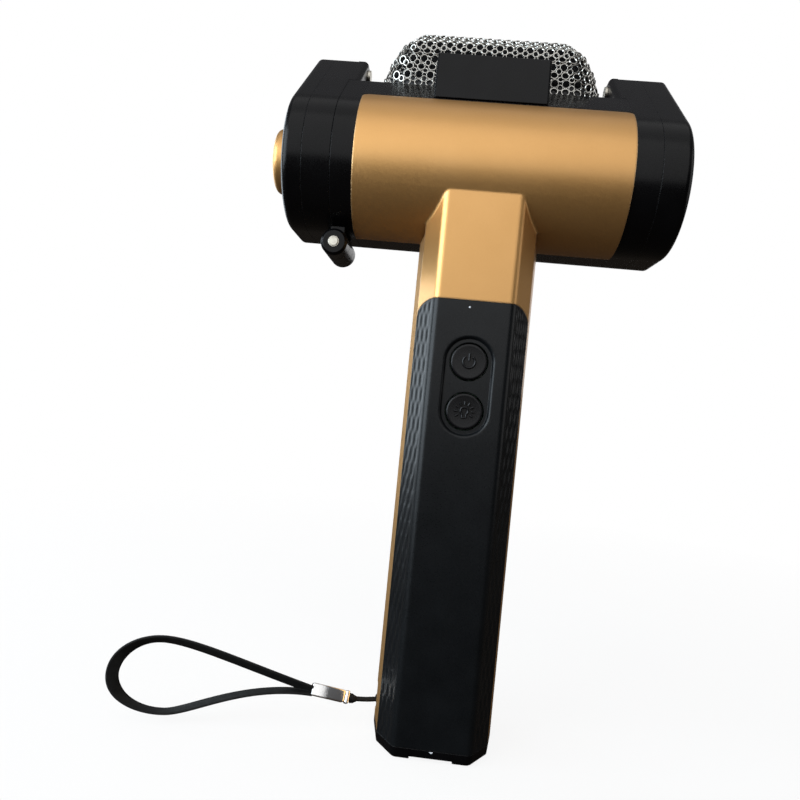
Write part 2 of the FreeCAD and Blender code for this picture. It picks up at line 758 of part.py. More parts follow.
def make_speaker():
    """Small round loudspeaker that faces the perforated right end."""
    flange_face = "right_seam - speaker_flange"
    cup_start = f"{flange_face} - speaker_cup_length"
    flange = ring("speaker_flange", "speaker_opening", "speaker_radius", flange_face, "speaker_flange")
    outside = cone("speaker_cup", "speaker_opening + 1", "speaker_opening - 5",
                   cup_start, "speaker_cup_length")
    inside = cone("speaker_cup_inside", "speaker_opening", "speaker_opening - 6",
                  cup_start, "speaker_cup_length")
    basket = cut("speaker_cup_shell", outside, inside)
    finished(fuse("speaker_frame", flange, basket), "speaker_frame")
    shell = cone("cone_outside", "16", "5", "right_seam - 10", "9")
    hollow_part = cone("cone_inside", "15.3", "4.3", "right_seam - 10", "9")
    finished(cut("speaker_cone", shell, hollow_part), "speaker_cone")
    finished(rod("magnet_disc", "x", "magnet_radius", "magnet_length",
                 f"{cup_start} - magnet_length - part_gap", "0", "head_axis"), "speaker_magnet")
    finished(ring("speaker_gasket", "speaker_opening", "speaker_radius", "right_seam + part_gap",
                  "right_end - right_seam - wall - 2 * part_gap"), "speaker_gasket")


def rounded_block(name, inset, bottom, top):
    """The basket's plan with rounded corners, raised between two heights and set in by a distance."""
    body = doc.addObject("PartDesign::Body", name)
    sketch = sketch_on(body, name + "_foot", "XY_Plane", bottom)
    rectangle(sketch, basket_sides(inset), (f"basket_front + {inset}", f"basket_back - {inset}"))
    pad(body, sketch, f"({top}) - ({bottom})")
    round_edges(body, f"basket_round + 1 - {inset}", lambda edge: straight_along(edge, ALONG_Z))
    return body


def dome(name, inset, bottom):
    """The basket's shape with its top rounded over as well."""
    body = rounded_block(name, inset, bottom, f"basket_top - {inset}")
    round_edges(body, f"basket_round - {inset}",
                lambda edge: in_plane(edge, ALONG_Z, size(f"basket_top - {inset}")))
    return body


def make_basket():
    """Mesh basket with its foot ring, foam liner, front block and what it protects."""
    deck = "deck_height + part_gap"
    mesh_inside = dome("mesh_inside", "basket_skin", "deck_height")
    finished(cut("mesh_basket", dome("mesh_outside", "0", deck), mesh_inside), "mesh_basket")
    ring_top = "deck_height + 4"
    frame_outside = rounded_block("basket_frame_outside", "(basket_skin + part_gap)", deck, ring_top)
    frame_inside = rounded_block("basket_frame_inside", "(basket_skin + 2)", "deck_height", f"{ring_top} + 1")
    finished(cut("basket_frame", frame_outside, frame_inside), "basket_frame")
    foam_outside = dome("foam_outside", "(basket_skin + 0.3)", f"{ring_top} + 0.2")
    foam_inside = dome("foam_inside", "(basket_skin + 0.3 + foam_thickness)", ring_top)
    finished(cut("foam_liner", foam_outside, foam_inside), "foam_liner")

    body = doc.addObject("PartDesign::Body", "basket_front_block")
    above = "(0 - 8 * part_gap)"
    foot = facet_at("head_axis + shell_radius * sin(shell_top_angle) + 1", above)
    corners = [foot, ("block_front", "block_top"), ("basket_front - part_gap", "block_top"),
               ("basket_front - part_gap", deck), facet_at(deck, above)]
    section = sketch_on(body, "block_section", "YZ_Plane", "basket_centre - block_half_width")
    pad(body, outline(section, corners), "2 * block_half_width")
    round_edges(body, "block_round",
                lambda edge: edge.CenterOfMass.y < -10 and edge.CenterOfMass.z > size("block_top") - 12)
    finished(body, "basket_front_block")

    middle = "(basket_front + basket_back) / 2"
    bridge_top = "deck_height + 2"
    finished(box("bridge_plate", basket_sides("8"), (f"{middle} - 6", f"{middle} + 6"), (deck, bridge_top)),
             "capsule_bridge")
    sleeve = rod("mount_sleeve", "z", "capsule_radius + 2", "11", "basket_centre", middle,
                 f"{bridge_top} + part_gap")
    bore = rod("mount_bore", "z", "capsule_radius + running_gap", "11", "basket_centre", middle,
               f"{bridge_top} + 1.5")
    finished(cut("capsule_mount", sleeve, bore), "capsule_mount")
    finished(rod("capsule_can", "z", "capsule_radius", "12", "basket_centre", middle, f"{bridge_top} + 1.6"),
             "microphone_capsule")
    board_left = "basket_centre + capsule_radius + 4"
    finished(box("light_board_plate", (board_left, f"{board_left} + 23"), (f"{middle} - 5", f"{middle} + 5"),
                 (f"{bridge_top} + part_gap", f"{bridge_top} + 1.3")), "light_board")
    lamps = [rod(f"lamp{number}", "z", "1.5", "1.5", f"{board_left} + 2.5 + 6 * {number}", middle,
                 f"{bridge_top} + 1.4") for number in range(4)]
    finished(group("light_leds", *lamps), "light_leds")


# ---------------------------------------------------------------- handle

def upright(body, name, bottom, half_section):
    """A sketch of the handle's section, or part of it, at a height."""
    return outline(sketch_on(body, name, "XY_Plane", bottom), both_sides(half_section))


def make_grip_panel():
    """Black front of the handle with the pill-shaped button recess."""
    label = "grip_panel"
    body = doc.addObject("PartDesign::Body", label)
    bottom = "cap_height + part_gap"
    front_section = upright(body, label + "_section", bottom, handle_corners()[:2])
    pad(body, front_section, f"grip_top - part_gap - ({bottom})")
    round_edges(body, "crease_round", creases)
    inside = upright(body, label + "_inside", "cap_height - 1", handle_corners("handle_wall")[:2])
    pocket(body, inside, "grip_top")
    front = "half_depth + 1"
    for side in ("-", ""):
        corner, shoulder = (f"{side}(front_half_width)", f"{side}(shoulder_half_width)")
        beyond = f"{side}(shoulder_half_width + 1)"
        top, low = ("grip_top - part_gap", "grip_top - part_gap - grip_corner")
        outside = sketch_on(body, label + ("_left_corner" if side else "_right_corner"), "XZ_Plane", front)
        outline(outside, [(corner, top), (shoulder, low), (beyond, low), (beyond, "grip_top + 1"),
                          (corner, "grip_top + 1")], {0: ("grip_corner", (corner, low))})
        pocket(body, outside, "half_depth", reverse=False)
    recess = sketch_on(body, label + "_recess", "XZ_Plane", front)
    left, right = ("-recess_half_width", "recess_half_width")
    corners = [(left, "light_height"), (right, "light_height"),
               (right, "power_height"), (left, "power_height")]
    ends = {0: ("recess_half_width", ("0", "light_height")), 2: ("recess_half_width", ("0", "power_height"))}
    pill(recess, corners, ends)
    pocket(body, recess, "recess_depth + 1", reverse=False)
    bores = sketch_on(body, label + "_bores", "XZ_Plane", front)
    circles(bores, "button_radius + running_gap", [("0", "power_height"), ("0", "light_height")])
    pocket(body, bores, "8", reverse=False)
    lamp = sketch_on(body, label + "_lamp_bore", "XZ_Plane", front)
    circles(lamp, "led_radius + running_gap", [("led_across", "led_height")])
    pocket(body, lamp, "8", reverse=False)
    finished(body, label)


def pill(sketch, corners, ends):
    """An upright pill: two straight sides joined by half rounds."""
    edges = []
    for index, (across, up) in enumerate(corners):
        start = FreeCAD.Vector(size(across), size(up), 0)
        stop = FreeCAD.Vector(*(size(part) for part in corners[(index + 1) % 4]), 0)
        if index in ends:
            radius, centre = ends[index]
            outward = -1 if index == 0 else 1
            tip = FreeCAD.Vector(size(centre[0]), size(centre[1]) + outward * size(radius), 0)
            edges.append(sketch.addGeometry(Part.Arc(start, tip, stop)))
            for end, corner in ((1, corners[index]), (2, corners[(index + 1) % 4])):
                pin_corner(sketch, edges[-1], end, corner)
        else:
            edges.append(sketch.addGeometry(Part.LineSegment(start, stop)))
    for index, edge in enumerate(edges):
        sketch.addConstraint(Sketcher.Constraint("Coincident", edges[index - 1], 2, edge, 1))
    return sketch


SHELL_SCREW_HEIGHTS = ("low_screw_height", "grip_top + 8")


def make_rear_shell():
    """Gold back of the handle, from the shoulder seam round to the back face."""
    label = "rear_shell"
    body = doc.addObject("PartDesign::Body", label + "_body")
    bottom = "cap_height + part_gap"
    top = "head_axis - shell_radius - part_gap"
    outside = [("shoulder_half_width", "-shoulder_depth + part_gap")] + handle_corners()[2:]
    pad(body, upright(body, label + "_section", bottom, outside), f"{top} - ({bottom})")
    round_edges(body, "crease_round", creases)
    inner = handle_corners("handle_wall")
    inside = [(inner[1][0], "-half_depth")] + inner[1:]
    pocket(body, upright(body, label + "_inside", "cap_height - 1", inside), "head_axis")
    slot = box("strap_slot", ("-widest - 1", "-widest + 5"), ("-cord_radius - 1.2", "cord_radius + 0.2"),
               ("strap_height - 3.5", "strap_height + 6.5"))
    pin_seat = rod("strap_pin_seat", "y", "strap_pin_radius + running_gap", "9.4", "-strap_pin_depth", "-4.7",
                   "strap_height")
    bores = []
    screws = []
    for number, height in enumerate(SHELL_SCREW_HEIGHTS):
        seat = "half_depth - 1.4"
        head_room = rod(f"shell_sink{number}", "y", "screw_head_radius + part_gap", "3", "0", seat, height)
        shank_room = rod(f"shell_bore{number}", "y", "screw_radius + running_gap", "6", "0",
                         "half_depth - 4", height)
        bores += [head_room, shank_room]
        screws.append(screw(f"shell_screw{number}", "y", "0", seat, height, "14"))
    finished(cut(label, body, slot, pin_seat, *bores), label)
    finished(group("shell_screws", *screws), "shell_screws")
    finished(rod("strap_pin_rod", "y", "strap_pin_radius", "9", "-strap_pin_depth", "-4.5", "strap_height"),
             "strap_pin")


def make_inside_of_handle():
    """Spine that carries the boards, with screw bosses behind it, then the boards and the charging port."""
    spine = box("spine_plate", ("-spine_half_width", "spine_half_width"), ("0", "spine_thickness"),
                ("cap_height + 12", "grip_top + 16"))
    bosses = []
    bores = []
    for number, height in enumerate(SHELL_SCREW_HEIGHTS):
        bosses.append(rod(f"spine_boss{number}", "y", "boss_radius", "12", "0", "2", height))
        bores.append(rod(f"spine_bore{number}", "y", "screw_radius + running_gap", "14", "0", "4", height))
    posts = []
    for across in ("-8", "8"):
        for height in ("light_height - 10", "grip_top - 4"):
            posts.append(rod(f"spine_post{len(posts)}", "y", "post_radius", "part_gap - switch_board_face",
                             across, "switch_board_face + part_gap", height))
    finished(cut("handle_spine", fuse("handle_spine_body", spine, *bosses, *posts), *bores), "handle_spine")
    board_front = "switch_board_face - board_thickness"
    finished(box("switch_board_plate", ("-10", "10"), (board_front, "switch_board_face"),
                 ("light_height - 14", "grip_top + 1")), "switch_board")
    switches = []
    for height in ("power_height", "light_height"):
        switches.append(box(f"switch{len(switches)}", ("-3", "3"),
                            (f"{board_front} - 3.5", f"{board_front} - part_gap"),
                            (f"{height} - 3", f"{height} + 3")))
    finished(group("button_switches", *switches), "button_switches")
    finished(rod("led_body", "y", "led_radius", f"half_depth + ({board_front}) - 0.3", "led_across",
                 "-half_depth + 0.2", "led_height"), "status_led")
    finished(box("main_board_plate", ("-13", "13"), ("4", "4 + board_thickness"), ("60", "grip_top - 10")),
             "main_board")
    finished(box("port_board_plate", ("-10", "10"), ("6", "6 + board_thickness"), ("cap_height + 5", "28")),
             "port_board")
    socket = box("port_can", ("-4.5", "4.5"), ("2.7", "5.9"), ("cap_height + 4.5", "cap_height + 11.5"))
    mouth = box("port_mouth", ("-4.1", "4.1"), ("3.1", "5.5"), ("cap_height + 4", "cap_height + 10.5"))
    finished(cut("charging_port", socket, mouth), "charging_port")


def make_button(label, height):
    """Round button with a flange that keeps it in and a stem above its switch."""
    face = "-half_depth + 0.1"
    cap = rod(label + "_cap", "y", "button_radius", "3.4", "0", face, height)
    flange = rod(label + "_flange", "y", "button_radius + 0.8", "0.8", "0",
                 "-half_depth + handle_wall + 0.9", height)
    stem = rod(label + "_stem", "y", "2", "1.6", "0", "-half_depth + 3.5", height)
    finished(fuse(label, cap, flange, stem), label)


def make_bottom_cap():
    """Pull-off cap over the charging port, with a fingernail notch in its front."""
    label = "bottom_cap"
    body = doc.addObject("PartDesign::Body", label)
    pad(body, upright(body, label + "_section", "0", handle_corners()), "cap_height")
    round_edges(body, "crease_round", creases)
    round_edges(body, "1.5", lambda edge: in_plane(edge, ALONG_Z, 0))
    pad(body, upright(body, label + "_lip", "cap_height - 0.5", handle_corners("(handle_wall + 0.4)")), "3.5")
    hollow_lip = upright(body, label + "_hollow", "1.8", handle_corners("(handle_wall + 2)"))
    pocket(body, hollow_lip, "10")
    notch = sketch_on(body, label + "_notch", "XZ_Plane", "half_depth + 1")
    rectangle(notch, ("-notch_half_width", "notch_half_width"), ("-1", "notch_height"))
    pocket(body, notch, "notch_depth + 1", reverse=False)
    finished(body, label)


# ---------------------------------------------------------------- wrist strap

def hang(piece, rise="0", hub="0"):
    """Lift a piece of the strap about a point along it, then turn it towards the front about its pin."""
    doc.recompute()
    lift = FreeCAD.Placement(FreeCAD.Vector(), FreeCAD.Rotation(FreeCAD.Vector(0, 1, 0), size(rise)),
                             FreeCAD.Vector(size(hub), 0, size("strap_height")))
    turn = FreeCAD.Placement(FreeCAD.Vector(), FreeCAD.Rotation(FreeCAD.Vector(0, 0, 1), size("strap_lean")),
                             FreeCAD.Vector(-size("strap_pin_depth"), 0, 0))
    placed = turn.multiply(lift).multiply(piece.Placement)
    for name in ("x", "y", "z"):
        piece.setExpression(f"Placement.Base.{name}", None)
    piece.Placement = placed
    return piece


def make_strap():
    """Cord looped round the pin in the handle's side, steel clasp and webbing loop."""
    eye = bind(doc.addObject("Part::Torus", "cord_eye"), Radius1="strap_pin_radius + cord_radius + 0.08",
               Radius2="cord_radius")
    place(eye, "-strap_pin_depth", "0", "strap_height", (1, 0, 0), 90)
    cord_end = "-strap_pin_depth - cord_length"
    tail = hang(rod("cord_tail", "x", "cord_radius", "cord_length - 1.7", cord_end, "0", "strap_height"))
    pin_room = rod("cord_pin_room", "y", "strap_pin_radius + 0.07", "4", "-strap_pin_depth", "-2",
                   "strap_height")
    finished(cut("strap_cord", fuse("strap_cord_body", eye, tail), pin_room), "strap_cord")
    clasp = box("clasp_block", (f"{cord_end} - clasp_length", f"{cord_end} - 0.3"), ("-2.2", "2.2"),
                ("strap_height - clasp_height / 2", "strap_height + clasp_height / 2"))
    finished(hang(clasp, "clasp_rise", cord_end), "strap_clasp")

    body = doc.addObject("PartDesign::Body", "strap_webbing")
    near = f"{cord_end} - clasp_length * cos(clasp_rise) - 0.6"
    near_height = "strap_height + clasp_length * sin(clasp_rise)"
    for inset, start, cuts in (("0", near, False), ("webbing_thickness", f"{near} - 9", True)):
        side = "-webbing_width / 2 - 1" if cuts else "-webbing_width / 2"
        sketch = sketch_on(body, "loop_inside" if cuts else "loop_outside", "XZ_Plane", side)
        loop_outline(sketch, start, near_height, inset)
        if cuts:
            pocket(body, sketch, "webbing_width + 2")
        else:
            pad(body, sketch, "webbing_width")
    finished(hang(body), "strap_webbing")


def loop_outline(sketch, start, start_height, inset):
    """A drop shape: straight sides that open out from the clasp to a half round at the far end."""
    radius = f"(loop_height / 2 - {inset})"
    middle = "-strap_pin_depth - strap_reach + loop_height / 2"
    height = "strap_height + loop_rise"
    half = f"(1.8 - {inset} / 2)"
    corners = [(start, f"{start_height} + {half}"), (middle, f"{height} + {radius}"),
               (middle, f"{height} - {radius}"), (start, f"{start_height} - {half}")]
    points = [FreeCAD.Vector(size(x), size(z), 0) for x, z in corners]
    tip = FreeCAD.Vector(size(f"{middle} - {radius}"), size(height), 0)
    shapes = [Part.LineSegment(points[0], points[1]), Part.Arc(points[1], tip, points[2]),
              Part.LineSegment(points[2], points[3]), Part.LineSegment(points[3], points[0])]
    edges = [sketch.addGeometry(shape) for shape in shapes]
    for index, edge in enumerate(edges):
        sketch.addConstraint(Sketcher.Constraint("Coincident", edges[index - 1], 2, edge, 1))
        pin_corner(sketch, edge, 1, corners[index])


for make in (make_door_cover, make_door_frame, make_left_collar, make_right_end, make_front_shell,
             make_head_housing, make_hinge_pin, make_rear_cover, make_dial, make_door_fittings, make_battery,
             make_speaker, make_basket, make_grip_panel, make_rear_shell, make_inside_of_handle,
             make_bottom_cap, make_strap):
    make()
make_button("power_button", "power_height")
make_button("light_button", "light_height")
doc.recompute()

for thing in doc.Objects:
    if {"Invalid", "Error"} & set(thing.State):
        raise ValueError(f"{thing.Name} failed: {thing.State}")
os.makedirs("parts", exist_ok=True)
for thing in subparts:
    shape = thing.Shape.copy()
    if not shape.isNull() and not shape.isValid():
        shape.fix(*HEALING)
    if shape.isNull() or not shape.isValid():
        raise ValueError(f"{thing.Label} has no valid shape")
    shape.exportStep(f"parts/{thing.Label}.step")
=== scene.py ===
"""Looks of a hand-held karaoke microphone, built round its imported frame. Lengths are in metres."""
import math
import random
from collections import namedtuple

import bmesh
import bpy
from mathutils import Matrix, Vector
from mathutils.geometry import interpolate_bezier


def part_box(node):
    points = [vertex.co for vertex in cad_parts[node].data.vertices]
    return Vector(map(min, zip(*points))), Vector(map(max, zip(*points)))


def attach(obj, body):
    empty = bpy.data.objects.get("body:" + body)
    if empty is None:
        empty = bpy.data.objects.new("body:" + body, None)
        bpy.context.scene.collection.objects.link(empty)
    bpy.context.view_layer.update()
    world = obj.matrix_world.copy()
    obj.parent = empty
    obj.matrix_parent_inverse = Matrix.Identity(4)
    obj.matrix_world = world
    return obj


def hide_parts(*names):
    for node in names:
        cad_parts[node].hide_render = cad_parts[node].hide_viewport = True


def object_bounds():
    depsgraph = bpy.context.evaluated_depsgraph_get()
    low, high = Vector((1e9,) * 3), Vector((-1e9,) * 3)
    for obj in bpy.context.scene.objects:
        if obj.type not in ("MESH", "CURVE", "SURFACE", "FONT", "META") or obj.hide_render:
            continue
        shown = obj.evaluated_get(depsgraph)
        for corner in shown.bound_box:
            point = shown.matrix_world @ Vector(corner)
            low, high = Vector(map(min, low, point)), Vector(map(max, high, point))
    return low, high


MM = 0.001
TURN = 2 * math.pi
UP = Vector((0, 0, 1))
SMOOTH_ANGLE = math.radians(38)      # sharper creases than this stay crisp

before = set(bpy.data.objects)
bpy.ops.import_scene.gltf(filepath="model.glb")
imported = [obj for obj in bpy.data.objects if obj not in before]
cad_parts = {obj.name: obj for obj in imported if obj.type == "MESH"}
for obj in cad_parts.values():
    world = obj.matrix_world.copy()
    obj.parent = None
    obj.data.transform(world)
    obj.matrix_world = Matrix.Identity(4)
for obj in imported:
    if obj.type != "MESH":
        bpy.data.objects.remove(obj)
cad_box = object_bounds()


# ---------------------------------------------------------------- node material helpers

def add_node(tree, kind, inputs=None, **settings):
    """Adds one shader node, with plain values or linked sockets as its inputs."""
    node = tree.nodes.new("ShaderNode" + kind)
    for name, value in settings.items():
        setattr(node, name, value)
    set_inputs(tree, node, inputs or {})
    return node


def set_inputs(tree, node, inputs):
    """Gives a node's inputs their plain values or linked sockets."""
    for name, value in inputs.items():
        if isinstance(value, bpy.types.NodeSocket):
            tree.links.new(value, node.inputs[name])
        else:
            node.inputs[name].default_value = value


def place_of(tree, stretch=(1, 1, 1)):
    """Position in the frame, scaled along each axis to draw a pattern out."""
    where = add_node(tree, "TexCoord").outputs["Object"]
    return add_node(tree, "Mapping", {"Vector": where, "Scale": stretch}).outputs["Vector"]


def noise(tree, size, detail=2, stretch=(1, 1, 1)):
    """Soft noise whose blotches are about `size` metres across."""
    inputs = {"Vector": place_of(tree, stretch), "Scale": 1 / size, "Detail": detail}
    return add_node(tree, "TexNoise", inputs).outputs["Fac"]


def between(tree, factor, low, high, start=0.3, end=0.7):
    """Number from `low` to `high` as the factor goes from start to end."""
    inputs = {"Value": factor, "From Min": start, "From Max": end, "To Min": low, "To Max": high}
    return add_node(tree, "MapRange", inputs).outputs["Result"]


def product(tree, first, second):
    """One number times another."""
    return add_node(tree, "Math", {0: first, 1: second}, operation="MULTIPLY").outputs["Value"]


def mixed(tree, factor, first, second):
    """Colour from `first` to `second`; each is three numbers or a socket."""
    ends = [end if isinstance(end, bpy.types.NodeSocket) else (*end, 1) for end in (first, second)]
    # the Mix node's factor, first colour and second colour are its inputs 0, 6 and 7
    node = add_node(tree, "Mix", {0: factor, 6: ends[0], 7: ends[1]}, data_type="RGBA")
    return node.outputs[2]


def soft_edges(tree, radius):
    """Normal rounded over each edge, and how strongly each point is on an edge."""
    rounded = add_node(tree, "Bevel", {"Radius": radius}, samples=4).outputs["Normal"]
    true = add_node(tree, "NewGeometry").outputs["Normal"]
    dot = add_node(tree, "VectorMath", {0: rounded, 1: true}, operation="DOT_PRODUCT").outputs["Value"]
    return rounded, between(tree, dot, 1, 0, start=0.86, end=0.995)


def surface(name, base, second, rough, metallic=0.0, specular=0.5, grain=0.25 * MM, depth=0.01 * MM,
            patch=12 * MM, edge=None, edge_radius=0.35 * MM, stretch=(1, 1, 1), coat=0.0, coat_rough=0.03):
    """Material with patches of colour, uneven polish, fine grain and edges tinted towards an edge colour in
    uneven strength: a painted highlight wherever that colour is lighter than the base.
    """
    material = bpy.data.materials.new(name)
    material.use_nodes = True
    tree = material.node_tree
    tone = mixed(tree, between(tree, noise(tree, patch, 4), 0, 1), base, second)
    normal, edge_strength = soft_edges(tree, edge_radius)
    # painted edge highlight: edges take the edge colour, more strongly in some patches than others
    painted_edge_tint = product(tree, edge_strength, between(tree, noise(tree, patch / 6, 3), 0.25, 1))
    fine = noise(tree, grain, 3, stretch)
    relief = add_node(tree, "Bump", {"Height": fine, "Distance": depth, "Strength": 1, "Normal": normal})
    set_inputs(tree, tree.nodes["Principled BSDF"], {
        "Base Color": mixed(tree, painted_edge_tint, tone, edge or second),
        "Roughness": between(tree, noise(tree, grain * 2, 3, stretch), *rough),
        "Metallic": metallic,
        "Specular IOR Level": specular,
        "Normal": relief.outputs["Normal"],
        "Coat Weight": coat,
        "Coat Roughness": coat_rough,
    })
    return material


# ---------------------------------------------------------------- finishes, one for each material slot

# Where a finish's edge colour (or, lacking one, its second tone) is lighter than its base, it is a painted
# highlight along the edges.
FINISHES = {
    "gold_paint": {
        "base": (0.65, 0.355, 0.12), "second": (0.70, 0.39, 0.14), "rough": (0.38, 0.48),
        "metallic": 0.92, "grain": 0.3 * MM, "depth": 0.012 * MM, "patch": 30 * MM,
        # light gold edge colour: a painted highlight along the shell's edges
        "edge": (0.86, 0.62, 0.36), "edge_radius": 0.8 * MM, "coat": 0.3, "coat_rough": 0.24,
    },
    "black_shell": {
        "base": (0.001, 0.001, 0.0013), "second": (0.0025, 0.0025, 0.003), "rough": (0.20, 0.30),
        "specular": 0.19, "grain": 0.3 * MM, "depth": 0.008 * MM, "edge": (0.02, 0.02, 0.022),
    },
    "grip_black": {
        "base": (0.0026, 0.0034, 0.0042), "second": (0.005, 0.006, 0.007), "rough": (0.26, 0.36),
        "specular": 0.27, "grain": 0.2 * MM, "edge": (0.015, 0.016, 0.018),
    },
    "button_black": {
        "base": (0.002, 0.002, 0.0025), "second": (0.004, 0.004, 0.005), "rough": (0.24, 0.34),
        "specular": 0.28, "grain": 0.18 * MM, "depth": 0.006 * MM,
        "edge": (0.02, 0.02, 0.023), "edge_radius": 0.25 * MM,
    },
    "polished_steel": {
        "base": (0.78, 0.78, 0.78), "second": (0.86, 0.85, 0.83), "rough": (0.06, 0.14),
        "metallic": 1.0, "grain": 0.5 * MM, "depth": 0.004 * MM, "stretch": (1, 6, 6),
    },
    "wire_mesh": {
        "base": (0.45, 0.44, 0.41), "second": (0.64, 0.63, 0.59), "rough": (0.16, 0.3),
        "metallic": 1.0, "grain": 0.3 * MM, "depth": 0.006 * MM, "patch": 3 * MM, "edge_radius": 0.05 * MM,
    },
    "foam": {
        "base": (0.006, 0.006, 0.007), "second": (0.02, 0.02, 0.021), "rough": (0.85, 1.0),
        "specular": 0.1, "grain": 0.6 * MM, "depth": 0.3 * MM, "patch": 2 * MM,
    },
    "webbing": {
        "base": (0.004, 0.004, 0.004), "second": (0.010, 0.010, 0.009), "rough": (0.6, 0.8),
        "specular": 0.25, "depth": 0.03 * MM, "patch": 3 * MM, "edge": (0.03, 0.03, 0.03),
    },
    "board_green": {
        "base": (0.01, 0.09, 0.03), "second": (0.02, 0.16, 0.06), "rough": (0.25, 0.35),
    },
    "inner_plastic": {
        "base": (0.03, 0.03, 0.032), "second": (0.045, 0.045, 0.048), "rough": (0.5, 0.65),
    },
    "plated_metal": {
        "base": (0.52, 0.49, 0.42), "second": (0.66, 0.63, 0.55), "rough": (0.28, 0.42),
        "metallic": 1.0, "depth": 0.02 * MM, "patch": 1.2 * MM, "edge": (0.2, 0.19, 0.17),
    },
    "cell_wrap": {
        "base": (0.02, 0.09, 0.3), "second": (0.03, 0.14, 0.4), "rough": (0.2, 0.3),
    },
    "magnet": {
        "base": (0.5, 0.5, 0.5), "second": (0.62, 0.62, 0.62), "rough": (0.15, 0.25), "metallic": 1.0,
    },
    "paper_cone": {
        "base": (0.02, 0.02, 0.02), "second": (0.05, 0.05, 0.048), "rough": (0.8, 0.95),
        "grain": 0.4 * MM, "depth": 0.06 * MM, "patch": 2 * MM,
    },
    "soft_rubber": {
        "base": (0.012, 0.012, 0.012), "second": (0.025, 0.025, 0.025), "rough": (0.7, 0.85),
    },
    "lamp": {
        "base": (0.75, 0.78, 0.85), "second": (0.9, 0.92, 0.95), "rough": (0.15, 0.25),
    },
}

finishes = {slot: surface(slot + "_finish", **look) for slot, look in FINISHES.items()}


def dress_cad_nodes():
    """Gives every carried-over node the finish of its own material slot."""
    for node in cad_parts.values():
        for slot in node.material_slots:
            slot.material = finishes[slot.material.name]


# ---------------------------------------------------------------- mesh helpers

def middle(node):
    """Centre of a node's box."""
    low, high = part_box(node)
    return (low + high) / 2


def eased(value, power):
    """A number raised to a power with its sign kept; a low power turns a round outline boxy."""
    return math.copysign(abs(value) ** power, value)


def link_object(name, data):
    """Puts new data into the scene as an object."""
    made = bpy.data.objects.new(name, data)
    bpy.context.scene.collection.objects.link(made)
    return made


def mesh_data(name, mesh):
    """Closes a bmesh into mesh data, smooth except across sharp creases."""
    bmesh.ops.recalc_face_normals(mesh, faces=mesh.faces)
    data = bpy.data.meshes.new(name)
    mesh.to_mesh(data)
    mesh.free()
    data.shade_smooth()
    data.set_sharp_from_angle(angle=SMOOTH_ANGLE)
    return data


def new_piece(name, data, body, slot, replaced=()):
    """Turns a mesh into a piece of the object, riding on a body and finished as a slot."""
    if isinstance(data, bmesh.types.BMesh):
        data = mesh_data(name, data)
    piece = link_object(name, data)
    data.materials.append(finishes[slot])
    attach(piece, body)
    if replaced:
        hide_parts(*replaced)
    return piece


def carved(name, data, cutters):
    """Mesh data with the cutters' shapes taken out of it."""
    solid = link_object(name + "_uncut", data)
    tools = [link_object(f"{name}_cutter{number}", cutter) for number, cutter in enumerate(cutters)]
    for tool in tools:
        modifier = solid.modifiers.new("carve", "BOOLEAN")
        modifier.object = tool
        modifier.solver = "EXACT"
    view = bpy.context.evaluated_depsgraph_get()
    result = bpy.data.meshes.new_from_object(solid.evaluated_get(view))
    for spare in (solid, *tools):
        bpy.data.objects.remove(spare)
    result.name = name
    result.shade_smooth()
    result.set_sharp_from_angle(angle=SMOOTH_ANGLE)
    return result


def bridge(mesh, rings, closed=True, capped=True):
    """Skins a run of vertex rings, each joined to the next."""
    for first, second in zip(rings, rings[1:]):
        count = len(first)
        for step in range(count if closed else count - 1):
            around = (step + 1) % count
            mesh.faces.new((first[step], first[around], second[around], second[step]))
    if capped:
        mesh.faces.new(reversed(rings[0]))
        mesh.faces.new(rings[-1])


def round_ring(mesh, centre, along, up, steps):
    """Vertices round an ellipse whose half axes are the vectors `along` and `up`."""
    ring = []
    for step in range(steps):
        angle = TURN * step / steps
        ring.append(mesh.verts.new(centre + along * math.cos(angle) + up * math.sin(angle)))
    return ring


def tube_along(mesh, points, radius, sides=8, closed=False, lifts=None):
    """Adds a round wire through the points, with its rings kept square to the path."""
    count = len(points)
    rings = []
    for index, point in enumerate(points):
        after = points[(index + 1) % count] if closed or index < count - 1 else point
        before = points[index - 1] if closed or index else point
        ahead = (after - before).normalized()
        side = ahead.cross(lifts[index] if lifts else Vector((0, -1, 0))).normalized()
        rings.append(round_ring(mesh, point, radius * side, radius * side.cross(ahead), sides))
    bridge(mesh, rings + rings[:1] if closed else rings, capped=not closed)


def lathe(profile, centre, steps=64):
    """A solid turned about a line along Y; the profile lists (radius, depth) from front to back."""
    mesh = bmesh.new()
    rings = []
    for radius, depth in profile:
        middle_of_ring = centre + Vector((0, depth, 0))
        rings.append(round_ring(mesh, middle_of_ring, Vector((radius, 0, 0)), Vector((0, 0, radius)), steps))
    bridge(mesh, rings)
    return mesh


def arc_points(centre, radius, start, end, steps):
    """Points in the XZ plane from one angle to another, in degrees from +X."""
    points = []
    for step in range(steps + 1):
        angle = math.radians(start + (end - start) * step / steps)
        points.append(centre + Vector((radius * math.cos(angle), 0, radius * math.sin(angle))))
    return points


# ---------------------------------------------------------------- grip with its recess and ripples

